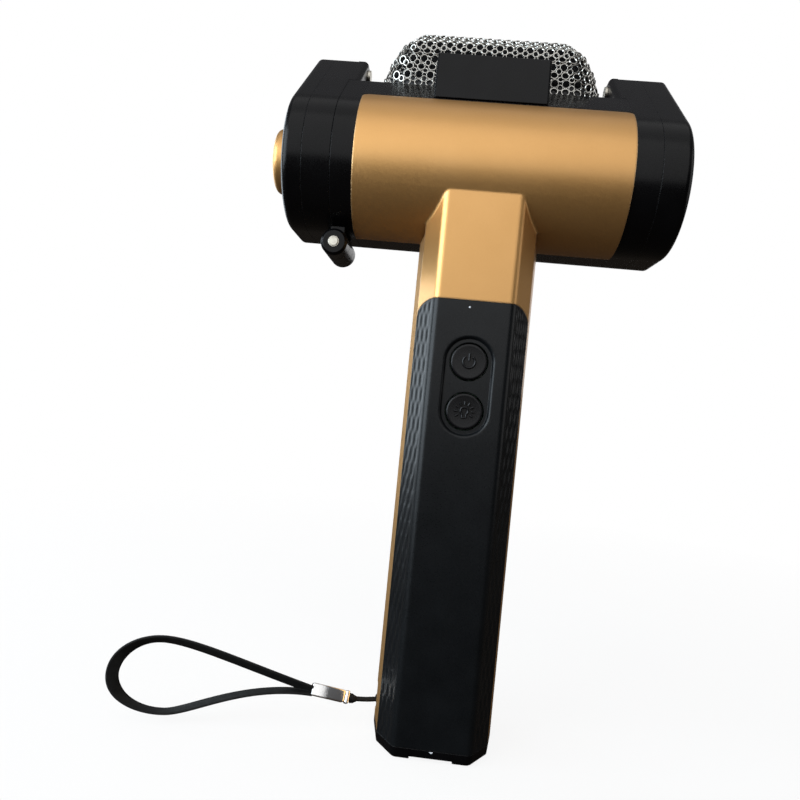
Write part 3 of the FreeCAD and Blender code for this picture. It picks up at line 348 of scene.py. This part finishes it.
FRONT_HALF = 13.5 * MM               # half width of the flat front
FLAT_STEPS = 10
CREASE_ROUND = 3 * MM
GRIP_WALL = 2.0 * MM
GRIP_CORNER = 6.4 * MM               # rounded top corners on the slanting sides
GRIP_ROWS = 300                      # fine enough to carry the ripples
GRIP_COLUMN = 0.26 * MM
RIPPLE_ACROSS = 3.0 * MM             # size of one leaf of the pattern
RIPPLE_UPWARD = 10.5 * MM
RIPPLE_RELIEF = 0.2 * MM
RIPPLE_FADE = 0.9 * MM               # the pattern dies away over this distance at its edges
CREASE_MARGIN = 0.6 * MM             # plain strips round the pattern
SHOULDER_MARGIN = 0.2 * MM
FOOT_MARGIN = 0.4 * MM
TOP_MARGIN = 0.6 * MM
RECESS_HALF = 8.7 * MM
RECESS_DEPTH = 1.1 * MM
GROOVE_RADIUS = 6.75 * MM            # dark groove round each button
THROUGH = 4 * MM                     # deep enough to pass through the grip's wall
LAMP_RADIUS = 0.42 * MM


def crease_arc(steps=8):
    """Rounded crease between the flat front and the slanting side, on the +X side of the grip."""
    low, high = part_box("grip_panel")
    corner = Vector((FRONT_HALF, low.y))
    shoulder = Vector((high.x, high.y))
    along = (shoulder - corner).normalized()
    inward = Vector((-1, 0))
    bisector = (along + inward).normalized()
    half_angle = along.angle(inward) / 2
    centre = corner + bisector * (CREASE_ROUND / math.sin(half_angle))
    start = Vector((0, -1))
    finish = Vector((along.y, -along.x))
    points = []
    for step in range(steps + 1):
        normal = start.slerp(finish, step / steps)
        points.append((centre + normal * CREASE_ROUND, normal))
    return points, along, shoulder


def grip_section():
    """The grip's section as (place, outward normal, distance along the slanting side or None)."""
    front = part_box("grip_panel")[0].y
    arc, along, shoulder = crease_arc()
    flat_end = arc[0][0].x
    half = []
    for step in range(FLAT_STEPS):
        half.append((Vector((flat_end * step / FLAT_STEPS, front)), Vector((0, -1)), None))
    half += [(place, normal, None) for place, normal in arc]
    start, normal = arc[-1]
    reach = (shoulder - start).length
    steps = round(reach / GRIP_COLUMN)
    for step in range(1, steps + 1):
        distance = reach * step / steps
        half.append((start + along * distance, normal, distance))
    mirrored = [(Vector((-place.x, place.y)), Vector((-normal.x, normal.y)), distance)
                for place, normal, distance in reversed(half[1:])]
    return mirrored + half, reach


def ripple(distance, reach, height, bottom, top):
    """Depth of the moulded leaf pattern on the slanting sides."""
    from_sides = min(distance - CREASE_MARGIN, reach - SHOULDER_MARGIN - distance)
    from_ends = min(height - bottom - FOOT_MARGIN, top - height - TOP_MARGIN)
    fade = min(max(min(from_sides, from_ends) / RIPPLE_FADE, 0), 1)
    wave = math.cos(TURN * distance / RIPPLE_ACROSS) * math.cos(TURN * height / RIPPLE_UPWARD)
    return RIPPLE_RELIEF * fade * (eased(wave, 0.65) - 1) / 2


def grip_walls():
    """Closed mesh of the grip before anything is cut from it, its outside rippled and its inside plain."""
    low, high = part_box("grip_panel")
    section, reach = grip_section()
    outer = []
    inner = []
    mesh = bmesh.new()
    for place, normal, distance in section:
        beyond = max(abs(place.x) - FRONT_HALF, 0)
        top = high.z - GRIP_CORNER + math.sqrt(max(GRIP_CORNER ** 2 - beyond ** 2, 0))
        column = []
        for row in range(GRIP_ROWS + 1):
            z = low.z + (top - low.z) * row / GRIP_ROWS
            sink = 0 if distance is None else ripple(distance, reach, z, low.z, top)
            spot = place + normal * sink
            column.append(mesh.verts.new((spot.x, spot.y, z)))
        outer.append(column)
        within = place - normal * GRIP_WALL
        inner.append([mesh.verts.new((within.x, within.y, z)) for z in (low.z, top)])
    bridge(mesh, outer, closed=False, capped=False)
    bridge(mesh, inner, closed=False, capped=False)
    for end in (0, -1):
        rim = [[column[end], within[end]] for column, within in zip(outer, inner)]
        bridge(mesh, rim, closed=False, capped=False)
        mesh.faces.new(outer[end] + inner[end][::-1])
    return mesh


def pill_ring(half, depth, low_height, high_height, steps=40):
    """Upright pill outline at one depth, as a closed list of points."""
    lower = arc_points(Vector((0, depth, low_height)), half, 180, 360, steps)
    upper = arc_points(Vector((0, depth, high_height)), half, 0, 180, steps)
    return lower + upper


def recess_cutters():
    """What is cut from the grip: the recess, a groove round each button and the lamp's hole."""
    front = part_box("grip_panel")[0].y
    heights = [middle(button).z for button in ("light_button", "power_button")]
    # (widening beyond the recess, depth) in mm: a rolled lip, a sloping wall, then the flat floor
    lip = ((0.45, -1.0), (0.45, -0.01), (0.12, 0.06), (-0.12, 0.22), (-0.55, 0.75),
           (-0.75, RECESS_DEPTH / MM))
    recess = bmesh.new()
    rings = []
    for wide, deep in lip:
        outline = pill_ring(RECESS_HALF + wide * MM, front + deep * MM, *heights)
        rings.append([recess.verts.new(point) for point in outline])
    bridge(recess, rings)
    groove = [(GROOVE_RADIUS, RECESS_DEPTH - 0.3 * MM), (GROOVE_RADIUS, THROUGH)]
    grooves = [lathe(groove, Vector((0, front, height))) for height in heights]
    lamp = middle("status_led")
    hole = lathe([(LAMP_RADIUS, -MM), (LAMP_RADIUS, THROUGH)], Vector((lamp.x, front, lamp.z)), 32)
    return [recess, *grooves, hole]


def make_grip():
    """Black grip: smooth front with a pill-shaped recess, leaf pattern moulded into the slanting sides."""
    cutters = [mesh_data("cutter", cutter) for cutter in recess_cutters()]
    data = carved("grip", mesh_data("grip_whole", grip_walls()), cutters)
    new_piece("grip_with_ripples", data, "handset", "grip_black", ["grip_panel"])


def make_status_lamp():
    """Tiny pale lens just under the gold seam."""
    low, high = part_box("status_led")
    lamp = middle("status_led")
    centre = Vector((lamp.x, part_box("grip_panel")[0].y, lamp.z))
    edge = LAMP_RADIUS - 0.04 * MM
    profile = [(0.05 * MM, -0.02 * MM), (0.6 * edge, 0.01 * MM), (0.9 * edge, 0.08 * MM), (edge, 0.2 * MM),
               (edge, high.y - low.y)]
    new_piece("status_lens", lathe(profile, centre, 24), "handset", "lamp", ["status_led"])


# ---------------------------------------------------------------- buttons and their symbols

# (radius, depth) in mm: a faint dish, a rolled rim and a straight side
BUTTON_PROFILE = ((0.1, 0.16), (2.5, 0.14), (4.6, 0.08), (5.35, 0.02), (5.7, 0), (5.95, 0.06), (6.15, 0.22),
                  (6.25, 0.5), (6.25, 3.4))
SYMBOL_WIRE = 0.4 * MM
SYMBOL_RISE = 0.2 * MM               # how far in front of the rim a symbol's middle lies
POWER_RADIUS = 2.1 * MM
POWER_BAR = (0.3 * MM, 2.9 * MM)     # its two ends, above the button's middle
BULB_RADIUS = 1.3 * MM
BULB_RISE = 0.2 * MM
FOOT_HALF = 0.65 * MM
FOOT_DROP = 2.2 * MM
RAY_ENDS = (2.35 * MM, 3.5 * MM)     # distances from the button's middle


def make_button(node, body, draw_symbol):
    """Round button with a rolled edge, a faint dish and a raised symbol."""
    place = middle(node)
    centre = Vector((place.x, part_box(node)[0].y, place.z))
    profile = [(radius * MM, depth * MM) for radius, depth in BUTTON_PROFILE]
    new_piece(node + "_cap", lathe(profile, centre, 96), body, "button_black", [node])
    mesh = bmesh.new()
    for points in draw_symbol(centre - Vector((0, SYMBOL_RISE, 0))):
        tube_along(mesh, points, SYMBOL_WIRE)
    new_piece(node + "_symbol", mesh, body, "button_black")


def power_symbol(centre):
    """Open ring with an upright bar in its gap."""
    bar = [centre + Vector((0, 0, height)) for height in POWER_BAR]
    return [arc_points(centre, POWER_RADIUS, 125, 415, 32), bar]


def light_symbol(centre, rays=9):
    """Small bulb with rays round its upper part."""
    bulb = arc_points(centre + BULB_RISE * UP, BULB_RADIUS, -60, 240, 24)
    foot = [centre + Vector((side * FOOT_HALF, 0, -FOOT_DROP)) for side in (-1, 1)]
    lines = [bulb, [bulb[-1], *foot, bulb[0]]]
    near, far = (arc_points(centre, radius, -30, 210, rays - 1) for radius in RAY_ENDS)
    return lines + [list(ray) for ray in zip(near, far)]


# ---------------------------------------------------------------- bottom cap mark

def make_cap_mark():
    """Small pale arrow that shows where the cap lines up."""
    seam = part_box("grip_panel")[0].z
    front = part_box("bottom_cap")[0].y
    corners = ((-0.7, -0.45), (0.7, -0.45), (0, -1.1))      # (across, above the seam) in mm
    mesh = bmesh.new()
    rings = [[mesh.verts.new((across * MM, front + depth, seam + up * MM)) for across, up in corners]
             for depth in (-0.05 * MM, 0.4 * MM)]
    bridge(mesh, rings)
    new_piece("cap_mark", mesh, "end_cap", "lamp")


# ---------------------------------------------------------------- wrist strap

CAMERA_PLACE = Vector((-7.63, -265.5, 123.4)) * MM      # the webbing's thin edge is turned to it
STRAP_LEAN = math.radians(14)        # turned towards the front of the handle
STRAP_FRONT = Vector((math.sin(STRAP_LEAN), -math.cos(STRAP_LEAN), 0))

CORD_START = 0.9 * MM                # distances along the strap are from its pin
CORD_END = 12.3 * MM
CORD_HEIGHT = 9.9 * MM
CORD_SAG = 0.35 * MM
CORD_RADIUS = 0.86 * MM
CORD_EYE = 1.65 * MM
CRIMP_START = 9.2 * MM
CRIMP_LENGTH = 2.4 * MM
CRIMP_FLARE = 0.95 * MM
CRIMP_DEPTH = 1.3 * MM               # the flare is flattened to this half depth
PLAIT = 2.2 * MM                     # length of one turn of the braid

CLASP_START = 12.6 * MM
CLASP_HEIGHT = 10.1 * MM
CLASP_LENGTH = 14.4 * MM
CLASP_RISE = math.radians(12)
CLASP_TIP = math.radians(26)         # rolled towards the viewer
CLASP_TALL = 4.5 * MM
CLASP_DEEP = 2.9 * MM
# (share of the length, share of the full section): a lip at the cord's end, a groove, then the plate
CLASP_PROFILE = ((0, 0.86), (0.01, 0.97), (0.03, 1.04), (0.075, 1.04), (0.09, 0.98), (0.1, 0.88),
                 (0.135, 0.88), (0.15, 0.95), (0.165, 1.0), (0.6, 1.0), (0.96, 0.99), (0.985, 0.96),
                 (1, 0.88))

WEBBING_WIDTH = 4.5 * MM
WEBBING_THICK = 1.0 * MM
WEBBING_STEP = 0.3 * MM
WEAVE = 0.9 * MM                     # spacing of the weave's ribs across the webbing
EDGE_TWIST = math.radians(26)        # 0 shows the viewer only the webbing's thin edge
NOSE_TWIST = math.radians(54)        # added where the loop runs straight up or down
NEARLY_ROUND = 0.55                  # length of a curve's handle that bends it through a round quarter
FLOOR_GAP = 0.15 * MM


def strap_place(along, height):
    """Place on the strap's upright plane, from its distance from the strap's pin and its height."""
    pin = middle("strap_pin")
    return Vector((pin.x - along * math.cos(STRAP_LEAN), -along * math.sin(STRAP_LEAN), height))


def clasp_spot(share):
    """(distance, height) on the clasp's line, from 0 at the cord to 1 at the webbing."""
    length = CLASP_LENGTH * share
    return Vector((CLASP_START + length * math.cos(CLASP_RISE), CLASP_HEIGHT + length * math.sin(CLASP_RISE)))


def webbing_line():
    """Centre line of the loop as (distance, height): two strands that open out to a round nose."""
    low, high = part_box("strap_webbing")
    mouth = clasp_spot(1) - Vector((0, 0.8 * WEBBING_THICK))
    far = (middle("strap_pin").x - low.x) / math.cos(STRAP_LEAN) - 0.4 * WEBBING_WIDTH
    length = far - mouth.x
    crest = Vector((mouth.x + 0.78 * length, high.z - 0.45 * WEBBING_WIDTH))
    dip = Vector((mouth.x + 0.735 * length, low.z + WEBBING_THICK / 2))
    nose = Vector((far, (crest.y + dip.y) / 2))
    across, upward = Vector((1, 0)), Vector((0, 1))
    upper, lower = (mouth + side * 0.6 * WEBBING_THICK * upward for side in (1, -1))
    # each stretch is (start, its handle, the end's handle, end)
    stretches = (
        (upper, upper + length * Vector((0.40, 0.135)), crest - 0.14 * length * across, crest),
        (crest, crest + NEARLY_ROUND * (far - crest.x) * across,
         nose + NEARLY_ROUND * (crest.y - nose.y) * upward, nose),
        (nose, nose - NEARLY_ROUND * (nose.y - dip.y) * upward,
         dip + NEARLY_ROUND * (far - dip.x) * across, dip),
        (dip, dip - 0.13 * length * across, lower + length * Vector((0.36, 0.045)), lower),
    )
    line = [upper]
    for stretch in stretches:
        steps = round((stretch[-1] - stretch[0]).length / WEBBING_STEP)
        line += interpolate_bezier(*stretch, steps)[1:]
    return line


def webbing_section(sides=40, ribs=5):
    """Flat section with round edges and faint lengthwise ribs, as (across, out) pairs."""
    section = []
    for step in range(sides):
        angle = TURN * step / sides
        across = eased(math.cos(angle), 0.35) * WEBBING_WIDTH / 2
        out = eased(math.sin(angle), 0.6) * WEBBING_THICK / 2
        section.append((across, out * (1 + 0.12 * math.cos(TURN * ribs * across / WEBBING_WIDTH))))
    return section


def make_webbing():
    """Woven loop that shows its thin edge along the strands and turns flat round the nose."""
    places = [strap_place(*spot) for spot in webbing_line()]
    lowest = cad_box[0][2] + FLOOR_GAP
    section = webbing_section()
    mesh = bmesh.new()
    rings = []
    run = 0
    for index, place in enumerate(places):
        before, after = places[max(index - 1, 0)], places[min(index + 1, len(places) - 1)]
        run += (place - before).length
        ahead = (after - before).normalized()
        sight = (place - CAMERA_PLACE).normalized()
        side = ahead.cross(sight).normalized()
        twist = EDGE_TWIST + NOSE_TWIST * ahead.z ** 2
        flat = side.cross(ahead) * math.cos(twist) + side * math.sin(twist)
        up = ahead.cross(flat).normalized()
        rib = 1 + 0.05 * math.cos(TURN * run / WEAVE)
        ring = []
        for across, out in section:
            spot = place + flat * across + up * out * rib
            spot.z = max(spot.z, lowest)
            ring.append(mesh.verts.new(spot))
        rings.append(ring)
    bridge(mesh, rings)
    new_piece("strap_woven_loop", mesh, "strap", "webbing", ["strap_webbing"])


def make_clasp(steps=48):
    """Polished ferrule: a pressed plate with a rolled lip at the cord's end."""
    start, end = (strap_place(*clasp_spot(share)) for share in (0, 1))
    ahead = (end - start).normalized()
    tip = Matrix.Rotation(CLASP_TIP, 3, ahead)
    front = tip @ STRAP_FRONT
    up = tip @ ahead.cross(STRAP_FRONT).normalized()
    mesh = bmesh.new()
    rings = []
    for share, swell in CLASP_PROFILE:
        centre = start + (end - start) * share
        ring = []
        for step in range(steps):
            angle = TURN * step / steps
            tall = eased(math.sin(angle), 0.2) * swell * CLASP_TALL / 2
            deep = eased(math.cos(angle), 0.2) * swell * CLASP_DEEP / 2
            ring.append(mesh.verts.new(centre + up * tall + front * deep))
        rings.append(ring)
    bridge(mesh, rings)
    new_piece("strap_ferrule", mesh, "strap", "polished_steel", ["strap_clasp"])


def make_cord(stations=60, sides=24, strands=3):
    """Braided cord from the handle's side to the clasp, flaring where it is crimped."""
    mesh = bmesh.new()
    rings = []
    for station in range(stations + 1):
        along = CORD_START + (CORD_END - CORD_START) * station / stations
        share = min(max((along - CRIMP_START) / CRIMP_LENGTH, 0), 1)
        radius = CORD_RADIUS + CRIMP_FLARE * share * share * (3 - 2 * share)
        centre = strap_place(along, CORD_HEIGHT - CORD_SAG * math.sin(math.pi * along / CORD_END))
        turned = TURN * along / PLAIT
        ring = []
        for step in range(sides):
            angle = TURN * step / sides
            plait = 1 + 0.05 * math.cos(strands * angle + turned) * math.cos(strands * angle - turned)
            lift = UP * math.sin(angle) * radius + STRAP_FRONT * math.cos(angle) * min(radius, CRIMP_DEPTH)
            ring.append(mesh.verts.new(centre + lift * plait))
        rings.append(ring)
    bridge(mesh, rings)
    eye = arc_points(middle("strap_pin"), CORD_EYE, 0, 360, 48)[:-1]
    tube_along(mesh, eye, CORD_RADIUS, 12, closed=True)
    new_piece("strap_braided_cord", mesh, "strap", "webbing", ["strap_cord"])


# ---------------------------------------------------------------- microphone basket

BASKET_ROUND = 10.5 * MM             # the basket's rounded top edge
FOAM_ROUND = 9.5 * MM
END_SLOPE = 0.42                     # how fast the basket's two ends draw in above their foot
END_SLOPE_START = 5.5 * MM
WIRE_RADIUS = 0.24 * MM
RING_RADIUS = 1.42 * MM
LINK_RADIUS = 1.02 * MM              # small rings that join one column to the next
ROW_PITCH = 3.05 * MM
COLUMN_PITCH = 4.5 * MM
RING_LEAN = math.radians(14)         # the rows tip in and out by turns
RING_JITTER = 0.04                   # uneven lean of single rings, in radians
FOAM_DENTS = (-0.35 * MM, 0.05 * MM)     # how far the foam's skin lies in or out

Basket = namedtuple("Basket", "centre half edge_round bottom top")


def basket_over(node, edge_round, inset=0):
    """Box with half-round ends and a rounded top edge, just inside a node's own box."""
    low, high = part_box(node)
    half = (high - low) / 2 - Vector((inset, inset, 0))
    return Basket((low + high) / 2, half, edge_round, low.z, high.z - inset)


def wall_height(basket):
    """Height of the upright part of the basket's side."""
    return basket.top - basket.edge_round - basket.bottom


def skin_length(basket):
    """Length from the basket's foot up the side, over the round and in to the middle of the top."""
    return wall_height(basket) + basket.edge_round * math.pi / 2 + basket.half.y - basket.edge_round


def skin_tilt(basket, climb):
    """How far the skin has leaned in after a climb, from 0 on the side to a quarter turn on the top."""
    return min(max(climb - wall_height(basket), 0) / basket.edge_round, math.pi / 2)


def basket_point(basket, climb, along):
    """Point and outward normal on the basket.

    `climb` is the length up the side from the foot, as skin_length measures it.
    `along` picks the place round the plan: ("front" or "back", x) on the straight sides,
    or ("left" or "right", angle) on the half-round ends.
    """
    centre, half, edge_round, bottom = basket.centre, basket.half, basket.edge_round, basket.bottom
    wall = wall_height(basket)
    tilt = skin_tilt(basket, climb)
    level_part = max(climb - wall - edge_round * math.pi / 2, 0)
    outward = half.y - edge_round + edge_round * math.cos(tilt) - level_part
    rise = bottom + min(climb, wall) + edge_round * math.sin(tilt)
    side, place = along
    sign = -1 if side in ("front", "left") else 1
    if side in ("front", "back"):
        direction = Vector((0, sign, 0))
        origin = Vector((place, centre.y, 0))
    else:
        direction = Vector((sign * math.cos(place), math.sin(place), 0))
        origin = Vector((centre.x + sign * (half.x - half.y), centre.y, 0))
    normal = direction * math.cos(tilt) + UP * math.sin(tilt)
    point = origin + direction * outward + UP * rise
    above = max(rise - bottom - END_SLOPE_START, 0)
    point.x -= END_SLOPE * above * (point.x - centre.x) / half.x
    return point, normal


def wire_ring(mesh, basket, climb, along, radius, lean, steps=14):
    """Adds a ring of wire that lies in the basket's skin, tipped out of it by `lean`."""
    point, normal = basket_point(basket, climb, along)
    across = Vector((-normal.y, normal.x, 0))
    if across.length < 1e-6:
        across = Vector((1, 0, 0))
    across.normalize()
    upward = normal.cross(across).normalized()
    if upward.z < 0:
        upward.negate()
    tipped = (upward * math.cos(lean) + normal * math.sin(lean)).normalized()
    path = []
    for step in range(steps):
        angle = TURN * step / steps
        path.append(point + radius * (across * math.cos(angle) + tipped * math.sin(angle)))
    facing = across.cross(tipped).normalized()
    tube_along(mesh, path, WIRE_RADIUS, 6, closed=True, lifts=[facing] * steps)


def make_basket():
    """Chain-like steel mesh: rings in rows, with small rings linking them."""
    basket = basket_over("mesh_basket", BASKET_ROUND, WIRE_RADIUS)
    straight = basket.half.x - basket.half.y
    total = skin_length(basket)
    columns = int(2 * straight / COLUMN_PITCH) + 1
    mesh = bmesh.new()
    dice = random.Random(7)
    for row in range(int(total / ROW_PITCH) + 1):
        climb = min(ROW_PITCH * (row + 0.45), total)
        link_climb = min(climb + ROW_PITCH / 2, total)
        row_lean = RING_LEAN if row % 2 else -RING_LEAN
        outward = basket.half.y - basket.edge_round * (1 - math.cos(skin_tilt(basket, climb)))
        around = max(round(math.pi * outward / COLUMN_PITCH), 1)
        for column in range(columns):
            place = basket.centre.x - straight + (column + 0.5) * 2 * straight / columns
            lean = row_lean + dice.uniform(-RING_JITTER, RING_JITTER)
            for side in ("front", "back"):
                wire_ring(mesh, basket, climb, (side, place), RING_RADIUS, lean)
                wire_ring(mesh, basket, link_climb, (side, place + straight / columns), LINK_RADIUS, -lean)
        for side in ("left", "right"):
            for step in range(around):
                angle = math.pi * ((step + 0.5) / around - 0.5)
                lean = row_lean + dice.uniform(-RING_JITTER, RING_JITTER)
                wire_ring(mesh, basket, climb, (side, angle), RING_RADIUS, lean)
                wire_ring(mesh, basket, link_climb, (side, angle - math.pi / 2 / around), LINK_RADIUS, -lean)
    new_piece("basket_wire_mesh", mesh, "handset", "wire_mesh", ["mesh_basket"])


def plan_place(basket, run):
    """Place round the basket's plan after a run along its edge, starting at the front's left end."""
    straight = basket.half.x - basket.half.y
    bend = math.pi * basket.half.y
    if run < 2 * straight:
        return "front", basket.centre.x - straight + run
    run -= 2 * straight
    if run < bend:
        return "right", run / basket.half.y - math.pi / 2
    run -= bend
    if run < 2 * straight:
        return "back", basket.centre.x + straight - run
    run -= 2 * straight
    return "left", math.pi / 2 - run / basket.half.y


def make_foam(levels=34, steps=150):
    """Open-cell foam with a rough skin, a little behind the wires."""
    basket = basket_over("foam_liner", FOAM_ROUND)
    total = skin_length(basket)
    perimeter = 4 * (basket.half.x - basket.half.y) + TURN * basket.half.y
    mesh = bmesh.new()
    dice = random.Random(3)
    rings = []
    for level in range(levels):
        climb = total * level / (levels - 1)
        ring = []
        for step in range(steps):
            point, normal = basket_point(basket, climb, plan_place(basket, perimeter * step / steps))
            ring.append(mesh.verts.new(point + normal * dice.uniform(*FOAM_DENTS)))
        rings.append(ring)
    bridge(mesh, rings, capped=False)
    foot = mesh.verts.new((basket.centre.x, basket.centre.y, basket.bottom))
    for step in range(steps):
        mesh.faces.new((foot, rings[0][(step + 1) % steps], rings[0][step]))
    bmesh.ops.remove_doubles(mesh, verts=mesh.verts, dist=0.01 * MM)
    piece = new_piece("basket_foam", mesh, "handset", "foam", ["foam_liner"])
    smoothing = piece.modifiers.new("smoothing", "SUBSURF")
    smoothing.levels = smoothing.render_levels = 1


# ---------------------------------------------------------------- floor, lights and camera

FLOOR_RADIUS = 6
FLOOR_BELOW = 0.2 * MM               # keeps the floor off the cap's flat foot
FLOOR_SEEN = (0.95, 0.95, 0.94)
FLOOR_REFLECTED = (0.07, 0.056, 0.045)

WHITE = (1, 1, 1)
DAYLIGHT = (0.80, 0.91, 1)
SKY_LOW = (0.02, 0.018, 0.016)
SKY_HIGH = (0.13, 0.13, 0.135)
# (name, place, (width, height), radiance, tint)
SOFTBOXES = (
    ("key_softbox", (-0.1, -1.0, 0.80), (1.5, 1.6), 1.15, WHITE),
    ("top_softbox", (0, -0.1, 1.4), (1.4, 0.9), 0.5, WHITE),
    ("left_window", (-0.90, -0.58, 0.28), (0.95, 1.1), 6.0, DAYLIGHT),
    ("right_fill", (1.15, -0.1, 0.45), (0.7, 0.9), 0.9, WHITE),
    ("back_fill", (0.45, 1.25, 0.6), (1.2, 0.9), 0.9, WHITE),
    ("back_window", (-0.95, 0.55, 0.30), (0.8, 1.0), 3.2, DAYLIGHT),
)

CAMERA_YAW = math.radians(3.5)
CAMERA_ROLL = math.radians(5.56)
CAMERA_LENS = 31.5                   # millimetres, on a sensor 36 wide


def camera_ray(tree):
    """1 where the camera looks straight at a surface, 0 where something reflects it."""
    return add_node(tree, "LightPath").outputs["Is Camera Ray"]


def floor_paint():
    """Pale floor with a soft shadow, dim in the object's reflections.

    The camera sees faintly through it, so a strap or cap that swings below the floor still shows.
    """
    material = bpy.data.materials.new("floor_paint")
    material.use_nodes = True
    tree = material.node_tree
    seen = camera_ray(tree)
    distance = add_node(tree, "VectorMath", {0: place_of(tree)}, operation="LENGTH").outputs["Value"]
    clear = add_node(tree, "BsdfTransparent")
    shaded = add_node(tree, "BsdfDiffuse", {"Color": mixed(tree, seen, FLOOR_REFLECTED, FLOOR_SEEN)})
    share = product(tree, seen, between(tree, distance, 0.88, 1, start=0.15, end=0.6))
    blend = add_node(tree, "MixShader", {0: share, 1: shaded.outputs["BSDF"], 2: clear.outputs["BSDF"]})
    set_inputs(tree, tree.nodes["Material Output"], {"Surface": blend.outputs["Shader"]})
    return material


def make_floor():
    """Pale floor that the microphone stands on."""
    mesh = bmesh.new()
    bmesh.ops.create_circle(mesh, cap_ends=True, segments=96, radius=FLOOR_RADIUS)
    data = bpy.data.meshes.new("floor")
    mesh.to_mesh(data)
    mesh.free()
    data.materials.append(floor_paint())
    floor = link_object("floor", data)
    floor.location.z = cad_box[0][2] - FLOOR_BELOW


def add_softbox(name, place, size, radiance, tint, aim):
    """Rectangular lamp facing a point, with its brightness given as radiance."""
    data = bpy.data.lights.new(name, "AREA")
    data.color = tint
    data.shape = "RECTANGLE"
    data.size, data.size_y = size
    data.energy = radiance * math.pi * data.size * data.size_y
    lamp = link_object(name, data)
    lamp.location = place
    lamp.rotation_euler = (aim - Vector(place)).to_track_quat("-Z", "Y").to_euler()


def make_lights():
    """Soft studio lamps aimed at the head's lower half, in a dim room that the camera sees as white."""
    aim = Vector((0, 0, 0.713 * cad_box[1][2]))
    for softbox in SOFTBOXES:
        add_softbox(*softbox, aim)
    world = bpy.data.worlds.new("studio")
    bpy.context.scene.world = world
    world.use_nodes = True
    tree = world.node_tree
    seen = camera_ray(tree)
    height = add_node(tree, "SeparateXYZ", {"Vector": add_node(tree, "TexCoord").outputs["Generated"]})
    ambient = mixed(tree, between(tree, height.outputs["Z"], 0, 1, start=-0.2, end=0.6), SKY_LOW, SKY_HIGH)
    set_inputs(tree, tree.nodes["Background"], {"Color": mixed(tree, seen, ambient, WHITE)})
    bpy.context.scene.view_settings.view_transform = "Standard"


def make_camera():
    """Camera just left of the handle, level with its upper third, rolled a little."""
    data = bpy.data.cameras.new("camera")
    data.sensor_width = 36
    data.lens = CAMERA_LENS
    data.clip_start = 0.01
    camera = link_object("camera", data)
    upright = Matrix.Rotation(CAMERA_YAW, 4, "Z") @ Matrix.Rotation(math.pi / 2, 4, "X")
    rolled = upright @ Matrix.Rotation(CAMERA_ROLL, 4, "Z")
    camera.matrix_world = Matrix.Translation(CAMERA_PLACE) @ rolled
    bpy.context.scene.camera = camera


dress_cad_nodes()
make_grip()
make_status_lamp()
make_button("power_button", "power_key", power_symbol)
make_button("light_button", "light_key", light_symbol)
make_cap_mark()
make_webbing()
make_clasp()
make_cord()
make_basket()
make_foam()
make_floor()
make_lights()
make_camera()
